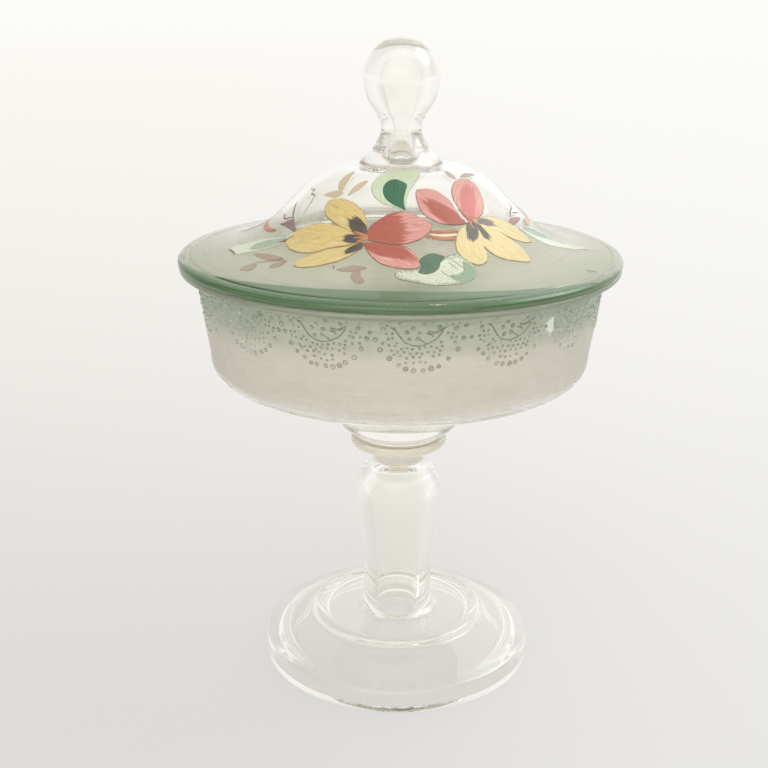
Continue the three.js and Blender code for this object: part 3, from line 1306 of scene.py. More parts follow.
@dataclass(frozen=True)
class Sheet:
    """Numbers of a painted patch's mesh, before it is laid on the glass.

    Args:
        plan: x and y of each vertex, in mm.
        lift: Height above the glass, in mm.
        quads: Four corner numbers a face; a repeated last one makes a triangle.
        brush: Along, across and in from the edge, in mm.
    """

    plan: np.ndarray
    lift: np.ndarray
    quads: np.ndarray
    brush: np.ndarray

    def raised(self, level: float) -> Sheet:
        """Returns the sheet lying that much higher above the glass."""
        return Sheet(self.plan, self.lift + level, self.quads, self.brush)

    def welded(self) -> Sheet:
        """Returns it with vertices in one place merged, and without empty faces and unused vertices."""
        key = np.round(np.concatenate([self.plan, self.lift[:, None]], 1), 5)
        _, first, same = np.unique(key, axis=0, return_index=True, return_inverse=True)
        quads = same.reshape(-1)[self.quads]
        again = np.array([np.zeros(len(quads), bool), *(
            (quads[:, :k] == quads[:, k:k + 1]).any(1) for k in (1, 2, 3))]).T
        quads = np.take_along_axis(quads, np.argsort(again, axis=1, kind="stable"), 1)
        corners = 4 - again.sum(1)
        quads[corners == 3, 3] = quads[corners == 3, 2]
        used, numbers = np.unique(quads[corners >= 3], return_inverse=True)
        return Sheet(self.plan[first][used], self.lift[first][used], numbers.reshape(-1, 4),
                     self.brush[first][used])

    def upright(self) -> Sheet:
        """Returns it with every face turned over if the highest ones face down in the plan."""
        order = self.lift[self.quads].mean(1).argsort()[::-1]
        top = self.quads[order[:max(len(self.quads) // 4, 1)]]
        p = self.plan[top]
        area = 0.5 * ((p[:, 2, 0] - p[:, 0, 0]) * (p[:, 3, 1] - p[:, 1, 1])
                      - (p[:, 3, 0] - p[:, 1, 0]) * (p[:, 2, 1] - p[:, 0, 1]))
        if area[top[:, 2] != top[:, 3]].sum() >= 0:
            return self
        triangle = (self.quads[:, 2] == self.quads[:, 3])[:, None]
        turned_over = np.where(triangle, self.quads[:, [1, 0, 2, 2]], self.quads[:, ::-1])
        return Sheet(self.plan, self.lift, turned_over, self.brush)


RIM_LIFT = 0.02
UNDER_LIFT = 0.008
SWELL_WIDTH = 2.2


def sheet_between(side_a: np.ndarray, side_b: np.ndarray, across: int, height: float) -> Sheet:
    """Fills the space between two lines that meet at both ends with a thin closed body.

    A point lies between the sides by a share that follows half a sine wave, so that points crowd towards the
    edges.  The top swells by a quarter circle to the full height, the bottom lies on the glass, and the two
    share their rim.

    Args:
        side_a, side_b: Left and right side, from root to tip.
        across: Number of steps across.
        height: Thickness in mm.

    Returns:
        The sheet.
    """
    share = np.sin((np.linspace(0, 1, across + 1) - 0.5) * math.pi) * 0.5 + 0.5
    flat = (side_a[:, None] * (1 - share)[:, None] + side_b[:, None] * share[:, None]).reshape(-1, 2)
    along = np.repeat(travelled((side_a + side_b) / 2), across + 1)
    offset = (np.linalg.norm(side_b - side_a, axis=1)[:, None] * (share - 0.5)).ravel()
    rim = np.concatenate([side_a, side_b])
    near = np.sqrt(((flat[:, None, :] - rim[None, :, :]) ** 2).sum(2)).min(1)
    swell = np.minimum(near / (SWELL_WIDTH * height), 1.0)
    number = np.arange(len(flat)).reshape(-1, across + 1)
    border = np.ones_like(number, bool)
    border[1:-1, 1:-1] = False
    top_lift = np.where(border.ravel(), RIM_LIFT, RIM_LIFT + height * np.sqrt(swell * (2 - swell)))
    below = np.where(border, number, number + number.size)
    top = np.stack([number[:-1, :-1], number[:-1, 1:], number[1:, 1:], number[1:, :-1]], 2)
    bottom = np.stack([below[:-1, :-1], below[1:, :-1], below[1:, 1:], below[:-1, 1:]], 2)
    lift = np.concatenate([top_lift, np.full(len(flat), UNDER_LIFT)])
    quads = np.concatenate([top, bottom]).reshape(-1, 4)
    brush = np.tile(np.stack([along, offset, near], 1), (2, 1))
    return Sheet(np.tile(flat, (2, 1)), lift, quads, brush).welded().upright()


def joined(sheets: Iterable[Sheet]) -> Sheet:
    """Returns several sheets in one."""
    sheets = list(sheets)
    starts = np.cumsum([0, *(len(sheet.plan) for sheet in sheets)])
    quads = [sheet.quads + start for sheet, start in zip(sheets, starts)]
    return Sheet(*(np.concatenate(parts) for parts in (
        [sheet.plan for sheet in sheets], [sheet.lift for sheet in sheets], quads,
        [sheet.brush for sheet in sheets])))


@dataclass(frozen=True)
class Petal:
    """A painted petal, leaf or bud.

    Args:
        name: Object name.
        outline: Plan outline from the root, round past the tip and back, in mm.
        tip: Number of the outline's point at the tip.
        finish: Its enamel.
        height: Thickness of the enamel in mm.
        level: Height of its bottom above the glass, for one that lies on another.
    """

    name: str
    outline: Stations
    tip: int
    finish: EnamelFinish
    height: float = 0.28
    level: float = 0.0
    per_span: int = 12
    rows: int = 56
    across: int = 26

    def sheet(self) -> Sheet:
        """Draws the petal between the two halves of its outline, from root to tip."""
        ring = smooth_ring(self.outline, self.per_span)
        cut = self.tip * self.per_span
        side_a = even(ring[:cut + 1], self.rows)
        side_b = even(np.concatenate([ring[cut:], ring[:1]])[::-1], self.rows)
        side_b[0], side_b[-1] = side_a[0], side_a[-1]
        return sheet_between(side_a, side_b, self.across, self.height).raised(self.level)


@dataclass(frozen=True)
class Stroke:
    """A thin painted line.

    Args:
        points: Middle of the line in plan, in mm.
        width: Full width in mm.
        blunt: How much of the width is left at the start and the end.
        end_share: Share of the line over which each end is rounded.
    """

    points: Stations
    width: float = 0.5
    blunt: tuple[float, float] = (0.5, 0.15)
    per_span: int = 12
    rows: int = 24
    across: int = 6
    end_share: float = 1 / 14
    height: float = 0.16

    def sheet(self, level: float) -> Sheet:
        """Draws the line, widest in the middle by half a sine wave over the taper between its blunt ends.

        Args:
            level: Height of its bottom above the glass, in mm.

        Returns:
            The sheet.
        """
        curved = len(self.points) > 2
        steps = self.per_span * (len(self.points) - 1)
        middle = even(smooth(self.points, steps) if curved else line(*self.points), self.rows)
        along = np.gradient(middle, axis=0)
        along /= np.linalg.norm(along, axis=1)[:, None]
        side = np.stack([-along[:, 1], along[:, 0]], 1)
        place = np.linspace(0, 1, self.rows)
        blunt = self.blunt[0] + (self.blunt[1] - self.blunt[0]) * place
        taper = blunt + (1 - blunt) * np.sin(place * math.pi)
        ends = np.minimum(np.minimum(place, 1 - place) / self.end_share, 1.0)
        half = (self.width / 2 * taper * np.sqrt(ends))[:, None] * side
        return sheet_between(middle + half, middle - half, self.across, self.height).raised(level)


def lay(name: str, sheet: Sheet, dome: Dome, material: Material) -> Object:
    """Writes a painted sheet as a mesh on the dome."""
    return write_mesh(name, dome.place(sheet.plan, sheet.lift), sheet.quads, np.zeros(len(sheet.quads), int),
                      [material], 75.0, sheet.brush)


YELLOW = ((220, 198, 132), (196, 160, 88), (234, 220, 170))
PALE_YELLOW = ((228, 210, 150), (208, 178, 108), (238, 228, 190))
PINK = ((216, 152, 142), (192, 112, 98), (236, 194, 184))
BLOTCH = srgb(70, 64, 66)
RED = srgb(170, 87, 68)

LEFT_UPPER = (
    (-13.1, -47.3), (-12.6, -44.5), (-13.2, -41.4), (-14.3, -38.8), (-15.5, -37.5), (-17.7, -34.9),
    (-20.4, -32.6), (-23.1, -30.6), (-25.8, -29.1), (-27.7, -28.8), (-28.8, -30.0), (-28.7, -32.1),
    (-27.8, -35.0), (-26.2, -37.3), (-24.7, -39.1), (-22.8, -41.1), (-20.5, -43.1), (-17.5, -45.3))
LEFT_MIDDLE = (
    (-13.6, -48.2), (-16.8, -45.7), (-19.8, -43.3), (-22.8, -40.9), (-26.6, -38.1), (-30.4, -35.5),
    (-34.3, -33.3), (-38.2, -31.9), (-41.2, -31.5), (-42.9, -32.7), (-43.3, -35.2), (-42.3, -38.3),
    (-40.6, -41.3), (-38.2, -43.9), (-35.1, -46.0), (-31.7, -47.2), (-28.1, -47.5), (-24.4, -48.1),
    (-20.3, -48.9), (-16.7, -48.9))
LEFT_LOWER = (
    (-13.2, -49.4), (-17.1, -49.0), (-20.3, -49.1), (-24.0, -48.3), (-27.7, -47.6), (-31.0, -47.6),
    (-34.3, -47.9), (-37.2, -48.5), (-38.8, -49.7), (-39.2, -51.6), (-37.6, -53.6), (-34.6, -54.7),
    (-31.0, -55.3), (-26.7, -55.2), (-23.1, -55.0), (-19.5, -53.8), (-16.6, -52.5), (-14.5, -51.4))
RED_UPPER = (
    (-13.1, -48.3), (-12.4, -45.5), (-10.6, -43.9), (-8.0, -42.8), (-5.1, -41.7), (-2.2, -41.3),
    (0.4, -41.2), (3.3, -41.5), (6.2, -42.3), (8.8, -43.2), (10.8, -44.4), (10.6, -45.8), (9.1, -47.6),
    (6.5, -49.6), (3.6, -50.8), (0.0, -51.6), (-4.0, -51.5), (-8.0, -50.5), (-11.2, -49.5))
RED_LOWER = (
    (-13.6, -49.4), (-8.7, -50.4), (-4.4, -51.5), (-0.7, -51.7), (2.1, -52.6), (4.6, -54.6), (5.9, -57.0),
    (6.4, -59.2), (5.3, -61.3), (2.4, -61.7), (-0.8, -61.5), (-4.3, -60.6), (-7.9, -58.7), (-10.4, -56.2),
    (-12.3, -53.4), (-13.4, -50.9))
PINK_LEFT = (
    (23.8, -39.0), (21.5, -37.8), (19.7, -35.6), (17.9, -33.9), (15.3, -32.8), (12.7, -31.8),
    (9.7, -31.8), (6.7, -32.6), (5.4, -33.3), (5.0, -35.2), (5.6, -38.0), (6.6, -40.1), (8.5, -41.8),
    (11.0, -42.6), (14.0, -43.0), (17.7, -42.4), (21.4, -40.9))
PINK_UPPER = (
    (24.9, -37.6), (22.7, -36.6), (20.5, -34.8), (18.9, -32.7), (18.5, -29.5), (19.4, -25.3),
    (21.1, -21.7), (23.1, -19.5), (26.2, -18.1), (28.5, -19.3), (29.9, -22.1), (30.9, -25.7),
    (31.1, -28.1), (30.1, -31.9), (28.1, -35.0), (26.1, -37.0))
YELLOW_LOWER = (
    (24.9, -38.0), (22.6, -40.6), (20.6, -43.5), (19.6, -46.3), (19.5, -49.2), (20.1, -51.4),
    (21.7, -53.1), (23.8, -54.7), (26.3, -55.2), (28.5, -54.8), (30.5, -52.6), (31.4, -49.5),
    (31.2, -47.1), (30.3, -45.6), (30.4, -41.8), (29.0, -39.4), (26.8, -38.4))
YELLOW_MIDDLE = (
    (25.7, -37.9), (29.1, -36.2), (33.8, -34.6), (37.7, -34.1), (41.9, -34.0), (44.8, -35.7),
    (46.8, -38.9), (47.8, -41.8), (46.8, -44.4), (42.0, -46.4), (38.2, -47.4), (34.9, -47.4),
    (32.0, -46.2), (30.2, -44.8), (28.5, -42.0), (27.1, -40.1))
YELLOW_UPPER = (
    (25.7, -37.4), (29.3, -33.6), (32.5, -30.7), (35.7, -28.5), (39.8, -26.0), (43.4, -24.7),
    (46.6, -25.1), (48.8, -26.5), (49.7, -27.4), (46.8, -30.7), (42.7, -33.0), (38.8, -34.1),
    (34.9, -34.8), (30.7, -36.2))
TOP_LEAF = (
    (1.3, -41.2), (-1.4, -40.1), (-4.4, -39.3), (-7.3, -38.0), (-9.9, -35.6), (-11.3, -32.4),
    (-11.1, -29.1), (-9.3, -26.0), (-6.7, -23.2), (-3.6, -21.0), (0.2, -19.5), (4.0, -19.3), (7.0, -21.0),
    (6.1, -26.6), (4.5, -30.8), (2.6, -34.2), (1.7, -37.4))
TOP_LEAF_DROP = (
    (1.3, -40.9), (-0.7, -40.1), (-3.3, -39.0), (-5.7, -37.1), (-7.0, -34.2), (-6.6, -31.1),
    (-4.8, -29.0), (-2.5, -28.3), (-0.3, -29.3), (1.9, -31.1), (1.5, -33.8), (0.8, -37.0), (0.9, -39.0))
LOW_LEAF = (
    (26.5, -58.1), (26.5, -61.3), (25.0, -65.2), (22.4, -68.0), (18.7, -70.1), (14.8, -71.3),
    (9.6, -71.8), (5.4, -70.2), (1.3, -68.9), (-1.9, -67.3), (-2.7, -64.2), (-1.9, -62.8), (0.6, -62.0),
    (3.5, -61.9), (6.0, -60.7), (6.2, -57.9), (7.1, -56.0), (9.0, -54.6), (11.2, -53.7), (13.7, -53.8),
    (15.9, -54.0), (17.3, -53.0), (19.6, -52.0), (21.7, -52.2), (23.9, -53.4), (25.6, -55.2))
LOW_LEAF_DARK = (
    (6.0, -57.9), (7.9, -55.3), (10.8, -53.9), (13.0, -53.9), (15.5, -54.7), (13.9, -57.3), (13.1, -60.4),
    (10.9, -63.3), (8.0, -64.4), (5.6, -63.4), (6.7, -60.2))
LOW_LEAF_GREEN = (
    (22.0, -55.0), (25.4, -57.0), (26.0, -61.0), (24.6, -65.0), (21.6, -67.9), (18.0, -66.5),
    (17.0, -63.8), (19.8, -62.8), (21.8, -60.0), (21.8, -57.0))
LEFT_LEAF = (
    (-41.2, -32.6), (-43.4, -33.4), (-46.5, -33.4), (-50.4, -32.4), (-55.2, -30.4), (-59.2, -28.6),
    (-62.3, -27.7), (-64.6, -24.5), (-66.4, -18.0), (-64.5, -15.6), (-60.3, -17.4), (-56.1, -19.5),
    (-51.9, -23.0), (-47.7, -27.2), (-43.6, -30.9))
LEFT_LEAF_INNER = (
    (-43.0, -32.2), (-46.9, -32.4), (-51.2, -31.3), (-54.9, -29.2), (-57.8, -26.1), (-55.8, -23.4),
    (-51.8, -24.8), (-47.2, -28.6))
RIGHT_LEAF = (
    (45.2, -23.1), (49.0, -16.5), (52.8, -11.0), (57.0, -9.6), (60.1, -9.7), (63.8, -9.0), (68.2, -7.4),
    (71.5, -7.3), (74.6, -7.8), (68.6, -13.4), (62.9, -17.4), (57.6, -20.8), (53.6, -21.9), (49.6, -22.2))
RIGHT_LEAF_INNER = (
    (46.5, -21.2), (50.3, -15.4), (54.8, -11.5), (58.1, -10.9), (60.1, -10.7), (55.9, -15.7),
    (51.5, -19.0), (48.1, -20.9))
BUD = (
    (-39.6, -32.2), (-41.8, -29.0), (-44.0, -24.6), (-46.7, -19.3), (-44.2, -21.4), (-42.6, -22.3),
    (-40.8, -24.6), (-40.2, -28.3))
BUD_WHITE = (
    (-41.0, -33.2), (-43.6, -30.4), (-46.4, -24.6), (-45.3, -22.6), (-42.8, -27.0), (-40.8, -31.2))
MAROON_BUD = (
    (41.0, -26.2), (41.7, -21.9), (44.0, -17.8), (46.4, -13.9), (45.1, -19.2), (42.7, -24.5))
PINK_BUD = (
    (48.9, -14.9), (49.0, -8.5), (49.8, -3.5), (51.2, -2.0), (50.8, -9.6), (49.8, -13.6))
SPRIG_A = (
    (-22.4, -27.8), (-23.8, -26.1), (-23.7, -22.1), (-21.9, -19.3), (-19.7, -18.0), (-17.8, -17.4),
    (-19.2, -21.2), (-20.6, -24.3))
SPRIG_B = (
    (-20.2, -31.2), (-18.6, -28.7), (-16.4, -27.2), (-14.2, -26.5), (-12.6, -27.2), (-14.5, -29.5),
    (-16.9, -30.8))
SPRIG_C = (
    (-21.8, -28.8), (-24.4, -26.0), (-26.7, -24.9), (-29.3, -24.4), (-27.0, -27.2), (-24.4, -29.4))
FAINT_LEAVES = (
    ((-43.3, -44.7), (-48.0, -42.8), (-52.8, -38.6), (-56.1, -32.1), (-52.4, -34.6), (-48.0, -39.0)),
    ((-54.0, -42.3), (-53.9, -46.7), (-55.5, -48.9), (-58.2, -47.8), (-59.8, -45.5), (-57.4, -42.4)),
    ((-42.1, -46.4), (-43.6, -49.2), (-46.6, -50.0), (-48.6, -48.2), (-46.2, -45.9)),
    ((-12.5, -60.2), (-15.7, -61.6), (-20.4, -61.1), (-23.6, -59.2), (-20.4, -58.3), (-16.9, -58.3)),
    ((-15.2, -61.6), (-14.6, -65.2), (-13.2, -68.8), (-15.5, -70.3), (-17.6, -67.6),
     (-18.3, -64.1), (-17.5, -61.8)),
    ((16.3, -17.1), (18.5, -17.8), (20.7, -21.3), (18.0, -21.5)),
    ((22.4, -18.6), (25.6, -15.6), (28.6, -9.5), (24.8, -12.6)),
)


def enamel(name: str, tones: Sequence[tuple[int, int, int]], patch: Patch | None = None,
           **more: object) -> EnamelFinish:
    """Returns an enamel of that name in three tones: main, darker and paler, each given as 0 to 255."""
    base, shade, light = (srgb(*tone) for tone in tones)
    return EnamelFinish(name, base, shade, light, patch=patch, **more)


def front_spray() -> list[Petal]:
    """Lists the petals and leaves of the spray: each with its outline, its tip, its enamel and its layer."""
    red = dict(color=RED, ragged=5.0)
    return [
        Petal("left_flower_petal_upper", LEFT_UPPER, 9, enamel("yellow_upper", YELLOW, Patch(
            BLOTCH, 4.4, 5.2, 0.5, 2.3, 2.8)), level=0.02),
        Petal("left_flower_petal_middle", LEFT_MIDDLE, 9, enamel("yellow_middle", YELLOW, Patch(
            BLOTCH, 4.6, 3.8, 0.0, 1.5, 2.8)), level=0.05),
        Petal("left_flower_petal_lower", LEFT_LOWER, 9, enamel("yellow_lower", YELLOW, Patch(
            BLOTCH, 4.4, 3.8, 0.1, 1.4, 2.0)), level=0.08),
        Petal("left_flower_petal_red_upper", RED_UPPER, 10, enamel("red_upper", PINK, Patch(
            along=2.0, reach=12.6, across=0.0, spread=10.0, **red)), level=0.06),
        Petal("left_flower_petal_red_lower", RED_LOWER, 8, enamel("red_lower", PINK, Patch(
            along=5.0, reach=14.5, across=-1.9, spread=3.6, **red)), level=0.09),
        Petal("right_flower_petal_pink_left", PINK_LEFT, 8, enamel("pink_left", PINK, Patch(
            along=5.6, reach=10.0, across=1.0, spread=3.0, **red)), level=0.05),
        Petal("right_flower_petal_pink_upper", PINK_UPPER, 8, enamel("pink_upper", PINK, Patch(
            srgb(200, 112, 102), 7.0, 8.5, 0.0, 3.0, 4.0)), level=0.07),
        Petal("right_flower_petal_lower", YELLOW_LOWER, 8, enamel("pale_lower", PALE_YELLOW, Patch(
            BLOTCH, 3.4, 3.8, 0.3, 2.5, 2.0)), level=0.1),
        Petal("right_flower_petal_middle", YELLOW_MIDDLE, 7, enamel("pale_middle", PALE_YELLOW, Patch(
            BLOTCH, 3.6, 3.8, 0.0, 1.9, 2.4)), level=0.06),
        Petal("right_flower_petal_upper", YELLOW_UPPER, 8, enamel("pale_upper", PALE_YELLOW, Patch(
            srgb(104, 96, 100), 6.4, 4.4, 0.2, 1.3, 2.4)), level=0.03),
        Petal("top_leaf", TOP_LEAF, 11, enamel("top_leaf_pale", (
            (204, 216, 184), (180, 200, 160), (232, 236, 218)), outline=srgb(170, 156, 124)), 0.2),
        Petal("top_leaf_drop", TOP_LEAF_DROP, 7, enamel("top_leaf_green", (
            (46, 104, 72), (32, 82, 56), (78, 128, 96)), outline_width=0.0), 0.2, 0.2),
        Petal("low_leaf", LOW_LEAF, 10, enamel("low_leaf_cream", (
            (216, 222, 198), (190, 202, 174), (234, 236, 220)), outline=srgb(116, 108, 80), worn=0.55), 0.2),
        Petal("low_leaf_dark", LOW_LEAF_DARK, 8, enamel("low_leaf_deep", (
            (78, 112, 86), (42, 80, 58), (122, 148, 122)), outline_width=0.0, worn=0.2), 0.16, 0.2),
        Petal("low_leaf_green", LOW_LEAF_GREEN, 5, enamel("low_leaf_mid", (
            (156, 184, 152), (124, 160, 128), (184, 204, 176)), outline_width=0.0, cover=0.8), 0.12, 0.2),
        Petal("left_leaf", LEFT_LEAF, 8, enamel("left_leaf_pale", (
            (214, 220, 194), (194, 204, 174), (232, 234, 216)),
            outline_width=0.2, outline=srgb(150, 142, 112)), 0.16),
        Petal("left_leaf_inner", LEFT_LEAF_INNER, 4, enamel("left_leaf_grey", (
            (164, 180, 154), (136, 160, 132), (190, 202, 178)), outline_width=0.0), 0.1, 0.16),
        Petal("right_leaf", RIGHT_LEAF, 8, enamel("right_leaf_pale", (
            (226, 230, 212), (204, 214, 194), (240, 242, 230)),
            outline_width=0.16, outline=srgb(168, 168, 140)), 0.16),
        Petal("right_leaf_inner", RIGHT_LEAF_INNER, 4, enamel("right_leaf_grey", (
            (146, 174, 156), (116, 150, 130), (182, 202, 184)), outline_width=0.0), 0.1, 0.16),
        Petal("left_bud", BUD, 3, enamel("bud_purple", (
            (142, 118, 118), (102, 80, 82), (180, 160, 158)), outline_width=0.18), 0.2, 0.05),
        Petal("left_bud_white", BUD_WHITE, 2, enamel("bud_white", (
            (222, 226, 214), (200, 208, 194), (236, 238, 230)), outline_width=0.0, cover=0.5), 0.12),
        Petal("right_bud", MAROON_BUD, 3, enamel("bud_maroon", (
            (168, 122, 114), (128, 86, 82), (204, 166, 156)), outline_width=0.18), 0.2),
        Petal("right_bud_pink", PINK_BUD, 3, enamel("bud_pink", (
            (224, 172, 152), (206, 142, 122), (238, 200, 184)), outline_width=0.0), 0.16),
        *(Petal(f"beige_sprig_{i}", outline, tip, enamel(f"beige_{i}", (
            (206, 188, 156), (184, 160, 122), (224, 212, 188)), outline_width=0.0), 0.14)
          for i, (outline, tip) in enumerate(((SPRIG_A, 5), (SPRIG_B, 4), (SPRIG_C, 3)))),
    ]


FAINT_HEIGHT = 0.08
FAINT = enamel("faint_sprigs", ((192, 170, 150), (168, 140, 122), (212, 200, 178)),
                   outline=srgb(140, 112, 92), outline_width=0.14, cover=0.6)
BROWN_LINES = (
    Stroke(((-40.9, -25.0), (-41.3, -20.6), (-40.7, -15.2), (-40.0, -13.6)), 0.55),
    Stroke(((-45.1, -14.1), (-44.6, -18.7), (-41.0, -22.8)), 0.5),
    Stroke(((-37.3, -25.8), (-34.8, -23.5), (-33.0, -20.9), (-34.3, -18.3), (-33.1, -17.0), (-34.5, -14.9),
            (-34.1, -12.6)), 0.42),
    Stroke(((-66.4, 15.6), (-60.4, 8.0), (-54.9, 4.2)), 0.4),
    Stroke(((41.7, -21.6), (42.2, -16.3), (43.0, -12.5), (41.4, -9.8)), 0.42),
    Stroke(((43.0, -16.4), (45.9, -10.6)), 0.36),
    Stroke(((47.2, 10.5), (49.4, 4.0), (50.6, -2.2)), 0.36),
    Stroke(((-66.8, -18.0), (-65.2, -21.6), (-63.6, -26.2)), 0.75, (0.7, 0.7)),
    Stroke(((-39.8, -33.6), (-43.2, -33.2), (-46.6, -32.0)), 0.9, (1.0, 0.1)),
    Stroke(((16.6, -56.6), (20.0, -59.8)), 0.3),
    Stroke(((13.6, -61.8), (17.4, -65.6)), 0.28),
    Stroke(((17.0, -54.4), (21.6, -58.2), (24.4, -61.4)), 0.26),
    Stroke(((-54.0, -42.3), (-50.2, -43.0), (-42.5, -46.2)), 0.35),
    Stroke(((-24.6, -56.4), (-24.4, -59.0)), 0.4),
    Stroke(((68.8, -41.2), (73.0, -41.8)), 0.35),
)
BROWN = enamel("brown_line", ((128, 98, 76), (92, 68, 54), (160, 130, 104)), outline_width=0.0)
ORANGE_LINES = (
    Stroke(((21.0, -43.2), (15.0, -45.5), (9.8, -46.6)), 1.1, (0.9, 0.6)),
    Stroke(((20.0, -46.3), (14.2, -47.9), (8.6, -48.2)), 1.1, (0.9, 0.6)),
    Stroke(((-17.4, -44.9), (-12.2, -48.0)), 0.9, (0.4, 0.9)),
    Stroke(((-16.6, -48.5), (-12.2, -48.5)), 0.9, (0.4, 0.9)),
    Stroke(((-17.8, -46.9), (-12.6, -48.1)), 0.6, (0.4, 0.9)),
    Stroke(((24.5, -37.4), (26.6, -40.0)), 0.8, (0.9, 0.4)),
    Stroke(((25.0, -36.9), (28.9, -37.2)), 0.8, (0.9, 0.4)),
    Stroke(((24.6, -36.6), (27.8, -34.8)), 0.7, (0.9, 0.4)),
    Stroke(((-52.2, 0.2), (-53.3, -3.5), (-53.1, -10.0), (-50.8, -17.2), (-47.7, -22.0)), 1.5, (0.3, 0.6)),
)
ORANGE = enamel("orange_stroke", ((196, 128, 88), (150, 80, 52), (226, 172, 136)), outline_width=0.0)
CREAM_LINES = (
    Stroke(((20.4, -44.7), (15.0, -46.7), (10.4, -47.4)), 0.9, (0.9, 0.6)),
    Stroke(((46.2, -22.4), (52.4, -17.2), (60.0, -12.4), (66.0, -9.4)), 0.5),
    Stroke(((66.0, -11.0), (73.0, -9.2), (78.4, -8.4)), 0.6, (0.8, 0.1)),
)
CREAM = enamel("cream_stroke", ((238, 224, 200), (222, 198, 166), (246, 238, 222)), outline_width=0.0)


LARGE, MIDDLE, SMALL, FINE = 1.0, 0.86, 0.58, 0.45
BEAD_SIDES = 8
BEAD_HEIGHT = 0.5
BEAD_LIFT = 0.01

# Rings of a bead, each a radius and a height
BEAD_RINGS = ((1.0, 0.0), (0.82, 0.5), (0.45, 0.86))

# Rows above a swag's edge, each a height, a half width, a spacing and a size
BEAD_ROWS = (
    (2.9, 4.4, 2.35, SMALL), (4.9, 8.9, 2.3, SMALL), (6.5, 9.4, 2.15, SMALL), (8.3, 10.6, 2.1, SMALL))

# Beads between two swags and in the columns below the lip, each across, up and a size
SIDE_BEADS = (
    (7.9, 10.5, SMALL), (9.5, 12.0, SMALL), (9.7, 14.0, SMALL), (11.0, 11.9, SMALL), (11.6, 13.8, SMALL),
    (12.6, 10.2, SMALL), (13.0, 11.9, SMALL), (12.4, 15.6, MIDDLE), (11.0, 17.2, FINE), (13.3, 17.6, FINE),
    (9.1, 16.0, FINE), (8.6, 17.6, FINE))
COLUMN_BEADS = ((15.6, 11.6, MIDDLE), (16.6, 14.1, LARGE), (15.8, 16.4, MIDDLE), (16.9, 18.3, SMALL))

# Flowers and single beads, each a middle, a radius, a number of petals and a size
FLOWERS = (
    ((2.2, 13.6), 2.2, 5, MIDDLE), ((-6.6, 16.6), 0.0, 1, LARGE), ((-1.4, 18.0), 0.0, 1, LARGE),
    ((-4.2, 18.2), 0.0, 1, SMALL), ((7.0, 18.2), 0.0, 1, MIDDLE))
FLOWER_TURN = 0.3

# Lines of fine beads, across and up
VINES = (
    ((-8.0, 14.4), (-5.9, 11.8), (-2.8, 9.9), (1.0, 9.1), (4.6, 10.2), (6.8, 12.5), (8.3, 14.8),
     (10.0, 16.1)), ((-8.2, 15.6), (-5.4, 14.2), (-3.0, 14.5)), ((-2.8, 10.0), (-1.2, 11.2), (0.4, 11.8)),
    ((-4.4, 12.6), (-3.6, 13.4), (-2.4, 13.6)))
VINE_WIDTHS = (0.34, 0.5, 0.3, 0.34)


